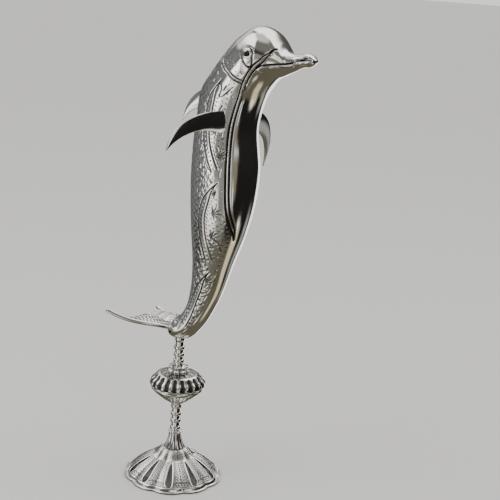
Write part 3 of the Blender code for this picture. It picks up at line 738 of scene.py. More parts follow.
@dataclass
class Foot(SubAssembly):
    """The pierced dome: ten swelling lobes of sheet, a slot in each, and a rolled, scalloped rim."""

    dark_metal: bpy.types.Material  # the dome's inside, which nobody polishes, darkened as tarnish and as painted shade
    radius: float = 55.0
    height: float = 27.0
    wall: float = 1.6
    roundness: float = 1.6
    lobes: int = 10
    lobe_reach: float = 1.5
    lobe_swell: float = 1.9
    lobe_turn: float = -62.0
    rim_width: float = 3.6
    rim_step: float = 2.4
    roll: float = 0.9  # radius of the rolled edge
    crown: float = 14.0
    slot_length: float = 25.0
    slot_width: float = 6.8
    slot_margin: float = 5.4
    slot_lip: float = 0.5  # how far the sheet dips at a slot's edge
    slot_dip: float = 1.1  # over which it dips
    boss_rise: float = 7.3  # the round boss that carries the trumpet
    boss_top: float = 12.8
    boss_radius: float = 24.0
    relief_depth: float = 0.4
    line_width: float = 0.9
    slot_lines: tuple[tuple[float, float], ...] = ((2.4, 1.0), (4.0, 0.8))  # (from the slot, darkness)
    dot_pitch: float = 2.6
    dot_rows: tuple[tuple[float, float, float], ...] = (  # (from the slot, share of a pitch, radius)
        (3.2, 0.5, 0.5), (5.6, 0.0, 0.9), (7.4, 0.5, 0.75), (9.2, 0.0, 0.9), (11.0, 0.5, 0.7),
    )
    rim_lines: tuple[tuple[float, float], ...] = ((46.2, 0.9), (49.4, 0.8))  # (radius, darkness)
    scallop_pitch: float = 3.0
    scallop_radius: float = 47.2
    boss_leaves: float = 1.9  # from one row of boss leaves to the next
    columns: int = 20  # on either side of a slot
    slot_columns: int = 4

    def slot_half(self, radii: np.ndarray) -> np.ndarray:
        """Measure half the slot's width: a power of the way at the inner end, a quarter ellipse at the outer.

        Args:
            radii: distances from the stem's axis.

        Returns:
            Half the width there, and a hair beyond the slot's ends.
        """
        end = self.radius - self.slot_margin
        t = (radii - end) / self.slot_length + 1.0
        inwards = np.clip(t / 0.8, 0.0, 1.0) ** 0.6
        outwards = np.sqrt(np.clip(1.0 - (np.clip(t - 0.86, 0.0, None) / 0.14) ** 2, 0.0, 1.0))
        return np.maximum(0.5 * self.slot_width * inwards * outwards, 0.12)

    def rows(self) -> tuple[np.ndarray, np.ndarray]:
        """Space the rings from the crown outwards, closest at the slot's ends and on the rim.

        Returns:
            Their radii, and which of them a slot cuts.
        """
        end = self.radius - self.slot_margin
        start = end - self.slot_length
        cut = start + self.slot_length * (0.5 - 0.5 * np.cos(np.linspace(0, math.pi, 60)))
        inner = np.concatenate([[1.0, 6.0], np.linspace(9.0, start, 26)[:-1]])
        outer = np.linspace(end, self.radius - self.rim_width, 6)[1:-1]
        rim = np.linspace(self.radius - self.rim_width, self.radius, 10)
        radii = np.concatenate([inner, cut, outer, rim])
        pierced = (radii >= start - 1e-9) & (radii <= end + 1e-9)
        return radii, pierced

    def dome(self, radii: np.ndarray) -> np.ndarray:
        """Find the dome's height: a boss that steps down to a dome, which falls by a power of the way out.

        Args:
            radii: distances from the stem's axis.

        Returns:
            The height of the outer face there.
        """
        outer = self.radius - self.rim_width
        share = np.clip((radii - self.crown) / (outer - self.crown), 0.0, 1.0)
        low = self.wall + self.rim_step
        height = low + (self.height - low) * (1.0 - share**self.roundness)
        height = height + self.boss_rise * (1.0 - ramp(self.boss_top, self.boss_radius, radii))
        on_rim = ramp(outer - 0.4, outer + 0.7, radii)
        return height * (1.0 - on_rim) + self.wall * on_rim

    def relief(
        self, radii: np.ndarray, across: np.ndarray, beside: np.ndarray
    ) -> tuple[np.ndarray, np.ndarray]:
        """Marks on a lobe: lines that follow the slot, rows of dots, and arcs across the outer end.

        Args:
            radii: distance from the stem's axis.
            across: distance from the lobe's middle line.
            beside: distance from the slot's edge.

        Returns:
            How far each point is sunk, and how dark it is.
        """
        # 1 on the dome itself, fading out towards the boss and the rim
        lower = ramp(self.crown + 8.0, self.crown + 11.0, radii) * (1.0 - ramp(48.0, 49.5, radii))

        def line(distance: np.ndarray) -> np.ndarray:
            """1 on a line, fading to 0 a little outside its width."""
            return 1.0 - ramp(0.15 * self.line_width, 0.6 * self.line_width, np.abs(distance))

        marks = np.zeros(np.broadcast_shapes(radii.shape, beside.shape))
        for away, share in self.slot_lines:
            marks = np.maximum(marks, share * line(beside - away) * lower)
        pitch = self.dot_pitch
        for away, shift, size in self.dot_rows:
            cell = (radii + shift * pitch) % pitch - 0.5 * pitch
            dot = 1.0 - ramp(0.35 * size, size, np.hypot(beside - away, 0.8 * cell))
            marks = np.maximum(marks, dot * lower)
        off_slot = ramp(1.0, 2.2, beside)
        for ring, share in self.rim_lines:
            marks = np.maximum(marks, share * line(radii - ring) * off_slot)
        scallop = np.abs(across % self.scallop_pitch - 0.5 * self.scallop_pitch)
        marks = np.maximum(marks, 0.8 * line(radii - self.scallop_radius - 0.9 * scallop) * off_slot)
        along = radii % self.boss_leaves - 0.5 * self.boss_leaves
        inner = ramp(self.boss_top, self.boss_top + 1.0, radii) * (1.0 - ramp(21.0, 23.0, radii))
        leaves = np.abs(along - 0.25 * np.sin(3.0 * across)) < 0.42
        marks = np.maximum(marks, 0.7 * inner * leaves * ramp(0.5, 1.2, np.abs(across)))
        return self.relief_depth * marks, marks

    def build(self) -> None:
        """Lay out each lobe's columns on both sides of its slot, leave the slot's faces out, add a wall.

        Over a lobe's width the sheet swells by a parabola, both outwards and upwards, and the lobes meet
        in creases darkened as painted shade. The rim's roll is a half circle.
        """
        radii, pierced = self.rows()
        half = self.slot_half(radii)
        pitch = math.tau / self.lobes
        sheet = np.linspace(0.0, 1.0, self.columns + 1) ** 1.25  # closer columns beside the slot
        within = np.linspace(-1.0, 1.0, self.slot_columns + 1)[1:-1]
        edge = half / radii
        outwards = edge[:, None] + (0.5 * pitch - edge[:, None]) * sheet
        offsets = np.concatenate([-outwards[:, ::-1], edge[:, None] * within, outwards[:, :-1]], axis=1)
        middle = math.radians(self.lobe_turn) + pitch * np.arange(self.lobes)
        angles = (middle[None, :, None] + offsets[:, None, :]).reshape(len(radii), -1)
        offsets = np.tile(offsets, (1, self.lobes))

        rim = self.radius - self.rim_width
        ring = radii[:, None]
        swell = 1.0 - (2.0 * offsets / pitch) ** 2
        share = np.minimum(ring / rim, 1.0) ** 2
        along = ring + self.lobe_reach * (2.0 * swell - 1.0) * share
        beside = np.abs(offsets) * ring - half[:, None]
        gore = ramp(self.boss_top - 3.0, self.boss_radius, ring) * (1.0 - share**4)
        heights = self.dome(ring) + self.lobe_swell * (swell - 0.3) * gore
        beyond = np.where(pierced[:, None], beside, np.inf)
        heights = heights - self.slot_lip * (1.0 - ramp(0.0, self.slot_dip, beyond))
        roll = np.clip((ring - (self.radius - 2.0 * self.roll)) / self.roll, 0.0, 2.0) - 1.0
        heights = heights + np.where(roll > -1.0, self.roll * np.sqrt(1.0 - roll**2) * 0.9, 0.0)
        sunk, dark = self.relief(ring, np.abs(offsets) * ring, np.broadcast_to(beside, heights.shape))
        # painted shade: the creases where the lobes meet are darkened
        crease = 1.0 - ramp(0.0, 0.9, (0.5 * pitch - np.abs(offsets)) * ring)
        on_dome = ramp(self.boss_top - 1.0, self.boss_top + 1.0, ring) * (1 - ramp(50.0, 52.0, ring))
        dark = np.maximum(dark, 0.8 * crease * on_dome)
        points = np.stack([along * np.cos(angles), along * np.sin(angles), heights - sunk], axis=-1)

        rows, columns, _ = points.shape
        index = np.arange(rows * columns).reshape(rows, columns)
        after = np.roll(index, -1, axis=1)
        quads = np.stack([index[:-1], index[1:], after[1:], after[:-1]], axis=-1)
        per_lobe = columns // self.lobes
        column = np.arange(columns) % per_lobe
        in_slot = (column >= self.columns) & (column < self.columns + self.slot_columns)
        opened = (pierced[:-1] & pierced[1:])[:, None] & in_slot[None, :]
        quads = quads[~opened]
        crown = [list(map(int, index[0]))]
        shape = bpy.data.meshes.new("foot")
        shape.from_pydata((self.seat.of(points.reshape(-1, 3)) * MM).tolist(), [], quads.tolist() + crown)
        write_dark(shape, dark.ravel())
        piece = self.show("foot_dome", shape, Slot.CHASED, "foot")
        shape.materials.append(self.dark_metal)
        wall = piece.modifiers.new("wall", "SOLIDIFY")
        wall.thickness = self.wall * MM
        wall.offset = -1.0
        wall.material_offset = 1
        wall.material_offset_rim = 1


@dataclass
class LowerStem(SubAssembly):
    """The petalled trumpet on the foot's crown and the beaded tube above it."""

    length: float = 53.1
    bead_heights: tuple[float, ...] = (23.5, 32.5, 40.8, 50.1)
    trumpet_height: float = 19.7
    trumpet_radius: float = 12.5
    trumpet_flare: float = 2.2  # 1 would be a cone
    throat: float = 7.2
    lip: float = 7.8
    petals: int = 10
    valley: float = 2.0
    columns: int = 160

    def build(self) -> None:
        """Turn the profile, with petals that stand out of the trumpet and end in turned-out tips."""
        share = np.linspace(0.0, 1.0, 60)
        flare = (1.0 - share) ** self.trumpet_flare
        radius = self.throat + (self.trumpet_radius - self.throat) * flare
        radius += (self.lip - self.throat + 0.7) * ramp(0.86, 1.0, share)
        top = self.trumpet_height
        trumpet = np.column_stack([radius, share * top])
        lip = np.array(
            [[self.lip + 0.4, top + 0.35], [self.lip - 1.0, top + 0.7], [TUBE_RADIUS + 0.2, top + 0.5]]
        )
        profile = np.concatenate([trumpet, lip, beaded_tube(top + 0.8, self.length, self.bead_heights)])
        depth = np.zeros(len(profile))
        depth[: len(share)] = self.valley * (0.45 + 0.55 * flare) * (1.0 - 0.2 * share)
        depth[len(share) : len(share) + 2] = (1.1, 0.4)  # the petals' turned-out tips

        def petals(row: np.ndarray, angles: np.ndarray) -> np.ndarray:
            """Sink the valleys between the petals, where the cosine of half the turns is 0."""
            return -depth[row] * (1.0 - np.abs(np.cos(0.5 * self.petals * angles)) ** 0.7)

        surface = Surface(self.seat.of(turned(profile, self.columns, petals)), sharp_angle=50.0)
        angles = np.arange(self.columns) * math.tau / self.columns
        # painted shade: the valleys between the petals are darkened
        valleys = (1.0 - np.abs(np.cos(0.5 * self.petals * angles))) ** 3
        surface.dark = 0.75 * valleys[None, :] * (depth / self.valley > 0.3)[:, None]
        foot_line = 1.0 - ramp(0.3, 1.0, profile[:, 1])
        surface.dark = np.maximum(surface.dark, 0.8 * foot_line[:, None])
        self.show("trumpet_stem", surface.mesh("trumpet_stem"), Slot.POLISHED, "lower_stem")


@dataclass
class Knop(SubAssembly):
    """Two bowls soldered rim to rim: hollow flutes above, faint swirling ones below."""

    radius: float = 31.6
    seam_radius: float = 29.2
    shoulder_radius: float = 23.6
    top_radius: float = 14.0
    depth: float = 19.8
    rise: float = 18.0
    neck: float = 5.8
    flutes: int = 20
    flute_depth: float = 1.9
    rib_share: float = 0.24  # of a flute's pitch
    arch_top: float = 0.92  # share of the upper bowl's height where a flute's arch ends, in its middle
    arch_fall: float = 0.09  # how much lower the arch ends at the ribs
    deck_leaves: int = 12
    vein_depth: float = 0.7
    beading: float = 0.94  # share of the height where the ring of beads lies
    bead_height: float = 0.35
    petal_depth: float = 0.5
    seam_bead: float = 0.7
    seam_half: float = 1.2  # half the height of the bead at the seam
    columns: int = 320

    def profile(self) -> tuple[np.ndarray, np.ndarray, np.ndarray]:
        """The outline from the lower stem to the collar.

        Returns:
            Rows of (radius, height), and each row's share of the way up the lower and the upper bowl,
            under 0 or over 1 where the row isn't on that bowl.
        """
        lower = np.linspace(0.0, 1.0, 50)
        bowl = self.neck + (self.seam_radius - self.neck) * lower**0.85
        below = self.depth - self.seam_half
        seam = np.linspace(-1.0, 1.0, 9)[1:-1]
        bead = self.seam_radius + self.seam_bead * np.sqrt(1.0 - seam**2)
        share = steps((0.0, 0.86, 60), (0.86, 1.0, 36))
        keys = (0.0, 0.12, 0.34, 0.5, 0.68, 0.84, 0.9, 0.93, 1.0)
        radii = (
            self.seam_radius, self.radius - 0.5, self.radius, 30.2, 27.0, 24.8,
            self.shoulder_radius, self.shoulder_radius - 1.6, self.top_radius,
        )
        above = self.depth + self.seam_half
        heights = above + share * (self.rise - self.seam_half)
        rows = np.concatenate(
            [
                np.column_stack([bowl, lower * below]),
                np.column_stack([bead, self.depth + self.seam_half * seam]),
                np.column_stack([smooth(keys, radii, share), heights]),
                [[7.0, self.depth + self.rise]],
            ]
        )
        outside = np.full(len(seam), -1.0)
        low_share = np.concatenate([lower, outside, np.full(len(share) + 1, 2.0)])
        high_share = np.concatenate([np.full(len(lower), -1.0), outside, share, [2.0]])
        return rows, low_share, high_share

    def build(self) -> None:
        """Turn the profile and press the flutes in: each a hollow under a round arch, between ribs.

        A flute is deepest in its middle and rises to the ribs by the square of the way. The deck above
        has a ring of raised beads and hatched leaves cut into it, the lower bowl low raised petals.
        """
        rows, low, high = self.profile()
        angles = np.arange(self.columns) * math.tau / self.columns
        pitch = math.tau / self.flutes
        across = np.abs((angles / pitch) % 1.0 - 0.5) * 2.0  # 0 in the middle of a flute, 1 on a rib
        reach = np.clip(across / (1.0 - self.rib_share), 0.0, 1.0)
        arch = self.arch_top - self.arch_fall * (1.0 - np.sqrt(1.0 - reach**2))
        t = high[:, None]
        on_upper = (t >= 0.0) * (t <= 1.0)
        inside = ramp(0.09, 0.13, t) * (1.0 - ramp(-0.05, 0.0, t - arch)) * on_upper
        hollow = inside * (1.0 - reach**2)
        petal = across[None, :]
        tip = 0.22 + 0.35 * petal**2  # share of the lower bowl's height where a petal starts
        below = ramp(0.0, 0.1, low[:, None] - tip) * (1.0 - ramp(0.86, 0.97, low))[:, None]
        sunk = self.flute_depth * hollow - self.petal_depth * below * (1.0 - petal**4)

        beads = 1.0 - ramp(0.0, 0.022, np.abs(t - self.beading))
        beading = beads * (0.55 + 0.45 * np.cos(4 * self.flutes * angles))
        cone = ramp(0.945, 0.952, t) * (t <= 1.0)
        leaf = np.abs(((angles * self.deck_leaves / math.tau) % 1.0) - 0.5) * 2.0
        across_deck = self.shoulder_radius - (self.shoulder_radius - self.top_radius) * (t - 0.9) / 0.1
        edge_gap = (1.0 - leaf) * across_deck * math.pi / self.deck_leaves
        hatch = np.abs((0.33 * across_deck + 1.3 * leaf) % 1.0 - 0.5) * 2.0
        veins = np.maximum(1.0 - ramp(0.5, 1.6, edge_gap), 0.9 * ramp(0.35, 0.7, hatch) * (leaf < 0.8)) * cone
        sunk = sunk - self.bead_height * beading + self.vein_depth * veins
        # Dark: a line above the beads, the veins, the hollows (painted dark reflection with some oxide),
        # lines above and below the seam, petals' tips
        dark = np.maximum(0.8 * (1.0 - ramp(0.0, 0.012, np.abs(t - self.beading - 0.015))), 0.95 * veins)
        # painted reflection: the flute hollows are darkened as if mirroring a dark room, with some oxide
        dark = np.maximum(dark, 0.94 * ramp(0.06, 0.75, hollow))
        dark = np.maximum(dark, 0.8 * (1.0 - ramp(0.0, 0.025, np.abs(t - 0.055))) * on_upper)
        dark = np.maximum(dark, 0.7 * (1.0 - ramp(0.2, 0.8, np.abs(rows[:, 1:2] - self.depth + 1.5))))
        dark = np.maximum(dark, 0.5 * (1.0 - ramp(0.02, 0.06, np.abs(low[:, None] - tip))) * (petal < 0.97))

        points = turned(rows, self.columns, lambda row, _: -sunk[row[:, 0]])
        surface = Surface(self.seat.of(points), dark, sharp_angle=60.0)
        self.show("fluted_knop", surface.mesh("fluted_knop"), Slot.POLISHED, "knop")


@dataclass
class UpperStem(SubAssembly):
    """The leafy collar on the knop, and the beaded tube that carries the figure."""

    length: float = 40.8
    bead_heights: tuple[float, ...] = (13.4, 21.2, 29.4)
    collar_radius: float = 12.8
    collar_waist: float = 10.4
    collar_lip: float = 10.6
    collar_height: float = 9.2
    tenon: float = 4.0  # how far the tube runs up into the body
    leaves: int = 8
    leaf_depth: float = 2.6
    columns: int = 144

    def build(self) -> None:
        """Turn the profile, with leaves that spread at the collar and are cut by a vein each."""
        share = np.linspace(0.0, 1.0, 34)
        radius = smooth(
            (0.0, 0.15, 0.5, 0.86, 1.0),
            (self.collar_radius - 0.8, self.collar_radius, self.collar_waist, self.collar_lip, 5.6), share,
        )
        collar = np.column_stack([radius, share * self.collar_height])
        tube = beaded_tube(self.collar_height + 0.3, self.length + self.tenon, self.bead_heights)
        tube[:, 0] += 0.8 * ramp(self.length - 4.0, self.length - 2.5, tube[:, 1])
        profile = np.concatenate([collar, tube])
        depth = np.zeros(len(profile))
        depth[: len(share)] = self.leaf_depth * (1.0 - ramp(0.84, 1.0, share))
        angles = np.arange(self.columns) * math.tau / self.columns
        lobe = np.abs(np.sin(0.5 * self.leaves * angles)) ** 0.6
        vein = 1.0 - ramp(0.0, 0.22, 1.0 - np.abs(np.sin(0.5 * self.leaves * angles)))

        def leafed(row: np.ndarray, _: np.ndarray) -> np.ndarray:
            """Sink the gaps between the leaves, and less deeply their veins."""
            return -depth[row] * (1.0 - lobe) - 0.25 * depth[row] * vein

        surface = Surface(self.seat.of(turned(profile, self.columns, leafed)), sharp_angle=50.0)
        # painted shadow: the gaps between the leaves are darkened by their depth
        surface.dark = 0.9 * (depth / self.leaf_depth)[:, None] * (1.0 - lobe) ** 1.5
        self.show("collared_stem", surface.mesh("collared_stem"), Slot.POLISHED, "upper_stem")


# Dolphin

class Station(NamedTuple):
    """A section of the body. Lengths are shares of the figure's height, angles degrees from the belly."""

    back: tuple[float, float]  # x and z of the section's back edge
    belly: tuple[float, float]  # x and z of its belly edge
    half_width: float
    inner: float  # the mouth line on the head
    border: float  # the belly plate's border, which runs on as the crease over the beak


BODY = (
    Station((-0.031, 0.040), (-0.033, 0.017), 0.022, 20.0, 40.0),
    Station((-0.024, 0.053), (-0.024, 0.006), 0.037, 20.0, 40.0),
    Station((-0.014, 0.067), (-0.008, 0.000), 0.045, 20.0, 40.0),
    Station((0.007, 0.085), (0.036, 0.007), 0.047, 20.0, 40.0),
    Station((0.023, 0.110), (0.071, 0.042), 0.047, 20.0, 40.0),
    Station((0.037, 0.169), (0.129, 0.141), 0.047, 20.0, 40.0),
    Station((0.041, 0.269), (0.172, 0.264), 0.061, 14.0, 30.0),
    Station((0.034, 0.362), (0.206, 0.362), 0.079, 12.0, 27.0),
    Station((0.028, 0.453), (0.228, 0.453), 0.092, 22.0, 50.0),
    Station((0.025, 0.561), (0.238, 0.561), 0.098, 28.0, 57.0),
    Station((0.032, 0.712), (0.226, 0.712), 0.089, 24.0, 53.0),
    Station((0.049, 0.813), (0.250, 0.797), 0.091, 26.0, 53.0),
    Station((0.077, 0.856), (0.267, 0.826), 0.092, 34.0, 58.5),
    Station((0.116, 0.911), (0.282, 0.845), 0.091, 48.0, 63.0),
    Station((0.165, 0.967), (0.296, 0.855), 0.089, 62.0, 67.0),
    Station((0.223, 1.000), (0.311, 0.862), 0.082, 59.0, 73.5),
    Station((0.269, 0.988), (0.324, 0.869), 0.066, 60.0, 92.0),
    Station((0.297, 0.958), (0.336, 0.875), 0.050, 67.0, 124.0),
    Station((0.314, 0.937), (0.347, 0.881), 0.037, 76.0, 146.0),
    Station((0.334, 0.929), (0.359, 0.888), 0.028, 83.0, 146.0),
    Station((0.360, 0.930), (0.373, 0.893), 0.024, 89.0, 140.0),
    Station((0.382, 0.935), (0.391, 0.896), 0.027, 84.0, 130.0),
    Station((0.401, 0.928), (0.405, 0.904), 0.020, 86.0, 130.0),
    Station((0.411, 0.918), (0.411, 0.912), 0.006, 90.0, 130.0),
)

# Numbers of the stations where parts of the ornament start or end
PLATE_START = 7
COLLAR_STATION = 13
MOUTH_STATION = 14
CROWN_STATION = 15
CREASE_END = 18
CHIN_STATION = 20


@dataclass
class BodyForm:
    """The body's bare skin: elliptic sections between a back line and a belly line."""

    height: float = FIGURE_HEIGHT
    tail_place: float = 0.0093  # where the tail's end lies along the body
    collar_drop: float = 0.040
    collar_rise: float = 0.020
    collar_reach: float = 0.170
    wave_top: float = 0.602
    wave_length: float = 0.292
    wave_lean: float = 0.85
    wave_fullness: float = 0.85
    wave_crest_share: float = 0.42
    wave_near: float = 11.0
    wave_far: float = 101.0

    def __post_init__(self) -> None:
        """Turn the stations into a table in millimetres, keyed by the mean length of both lines."""
        backs = np.array([station.back for station in BODY]) * self.height
        bellies = np.array([station.belly for station in BODY]) * self.height
        self.keys = self.tail_place * self.height + 0.5 * (run_of(backs) + run_of(bellies))
        widths = np.array([station.half_width for station in BODY]) * self.height
        angles = np.array([(station.inner, station.border) for station in BODY])
        self.table = np.column_stack([backs, bellies, widths, angles])

    def section(self, places: np.ndarray) -> np.ndarray:
        """The table's seven columns at places along the body."""
        return smooth(self.keys, self.table, np.ravel(places)).reshape(*np.shape(places), self.table.shape[1])

    def border(self, places: np.ndarray) -> np.ndarray:
        """Angle of the belly plate's border, and of the crease over the beak."""
        return self.section(places)[..., 6]

    def mouth(self, places: np.ndarray) -> np.ndarray:
        """Angle of the mouth line."""
        return self.section(places)[..., 5]

    def skin(self, places: np.ndarray, angles: np.ndarray) -> np.ndarray:
        """Points on the skin: the middle of the section, plus its half axes times cosine and sine.

        Args:
            places: millimetres along the body.
            angles: degrees from the belly's middle line, round the right flank.

        Returns:
            One point for each place and angle.
        """
        places, angles = np.broadcast_arrays(np.asarray(places, dtype=float), np.asarray(angles, dtype=float))
        values = self.section(places)
        back, belly, width = values[..., 0:2], values[..., 2:4], values[..., 4]
        across, up = np.sin(np.radians(angles)), -np.cos(np.radians(angles))
        x, z = (0.5 * (back + belly)[..., k] + 0.5 * (back - belly)[..., k] * up for k in range(2))
        return np.stack([x, -width * across, z], axis=-1)

    def tilted(self, places: np.ndarray, angles: np.ndarray) -> np.ndarray:
        """Lean the rings near the collar as the collar does, down at the belly and up at the back.

        Args:
            places: the rings' places, in millimetres along the body.
            angles: degrees of their points.

        Returns:
            The places of the points.
        """
        collar, reach = self.keys[COLLAR_STATION], self.collar_reach * self.height
        near = ramp(collar - reach, collar, places) * (1.0 - ramp(collar, collar + reach, places))
        backwards = np.clip((angles - 60.0) / 120.0, 0.0, 1.0)
        lift = (self.collar_drop + self.collar_rise) * backwards - self.collar_drop
        return places + near * lift * self.height

    def wave(self, places: np.ndarray) -> np.ndarray:
        """Find the wave line's angle: arches that rise from the plate's border by a power of a sine.

        Args:
            places: millimetres along the body.

        Returns:
            Degrees from the belly's middle line.
        """
        share = (self.wave_top * self.height - places) / (self.wave_length * self.height)
        share = np.where(share < 0.0, np.maximum(1.0 + share, self.wave_crest_share), share % 1.0)
        swing = np.sin(math.pi * share**self.wave_lean) ** self.wave_fullness
        near = np.maximum(self.border(places), 0.5 * self.wave_far) + self.wave_near
        return near + (self.wave_far - near) * swing

    def trace(self, keys: Sequence[tuple[float, float]], count: int = 20) -> np.ndarray:
        """Points of a line over the skin through (place, angle) keys."""
        path = smooth(np.arange(len(keys)), np.array(keys), np.linspace(0, len(keys) - 1, count))
        return self.skin(path[:, 0], path[:, 1])

    def local(self, place: float, angle: float, along: np.ndarray, around: np.ndarray) -> np.ndarray:
        """Lay out points on the skin round a spot.

        Args:
            place: the spot's place along the body.
            angle: the spot's angle.
            along: distances in millimetres from the spot towards the beak.
            around: distances towards the back.

        Returns:
            One point for each pair of distances.
        """
        ahead = np.linalg.norm(self.skin(place + 1.0, angle) - self.skin(place, angle))
        aside = np.linalg.norm(self.skin(place, angle + 1.0) - self.skin(place, angle))
        return self.skin(place + along / ahead, angle + around / aside)


class Sheet(NamedTuple):
    """A bare sheet of the body, with each of its points' coordinates on the body."""

    surface: Surface
    places: np.ndarray  # millimetres along the body
    angles: np.ndarray  # degrees from the belly's middle line, the same on both flanks
    breadth: np.ndarray  # millimetres round the body from the belly plate's border


class Columns(NamedTuple):
    """How many columns of points one flank has in each zone, from the belly to the back."""

    belly: int
    mouth: int
    chin: int
    border: int
    flank: int
    back: int


TRUNK_COLUMNS = Columns(7, 2, 4, 12, 62, 24)
HEAD_COLUMNS = Columns(14, 14, 8, 14, 50, 28)

# Strokes that fill the back, the tail, the flanks below the waves, and the nape above the collar
BACK_STROKES = (
    Strokes((10.0, 4.8), (8.4, 1.9), (12.0, 40.0), 0.62, 0.62),
    Strokes((6.1, 4.8), (3.6, 1.4), (-18.0, 66.0), 0.45, 0.6, shift=(4.1, 2.3)),
)
TAIL_STROKES = (
    Strokes((8.6, 4.6), (7.4, 1.8), (-24.0, 50.0), 0.55, 0.75),
    Strokes((5.2, 4.6), (2.6, 1.2), (24.0, 60.0), 0.4, 0.7, shift=(3.0, 2.0)),
)
FLANK_STROKES = (Strokes((5.6, 4.6), (2.0, 1.3), (-30.0, 80.0), 0.28, 0.9),)
NAPE_STROKES = (Strokes((3.6, 3.0), (2.8, 1.1), (40.0, 50.0), 0.3, 0.75),)

# Fans of leaves: place and angle of the root, heading in degrees from the way to the beak, length
PALMETTES = (
    (238.0, 76.0, -58.0, 15.0), (176.0, 81.0, -66.0, 13.5), (150.0, 81.0, -70.0, 11.0),
    (266.0, 78.0, 112.0, 9.0), (199.0, 73.0, 92.0, 8.0), (96.0, 78.0, -70.0, 9.0),
)

# A fan's leaves: turn from its heading in degrees, and share of its length
FAN_LEAVES = ((-62, 0.6), (-40, 0.8), (-18, 0.96), (4, 1.0), (26, 0.86), (48, 0.66))

# Single curved strokes through keys of place and angle
SCROLLS = (
    ((313.0, 73.0), (307.0, 76.0), (302.0, 80.5), (299.0, 86.0)),
    ((314.0, 84.0), (311.0, 84.5), (307.0, 84.0)),
    ((305.0, 88.0), (302.0, 88.0), (299.0, 87.0)),
    ((292.0, 76.0), (288.0, 79.0), (283.0, 80.0)),
    ((151.0, 80.0), (143.0, 60.0), (135.0, 49.0)),
    ((147.0, 84.0), (141.0, 76.0), (134.0, 70.0)),
    ((268.0, 66.0), (262.0, 69.0), (256.0, 68.0)),
    ((226.0, 68.0), (221.0, 71.0), (216.0, 70.0)),
)


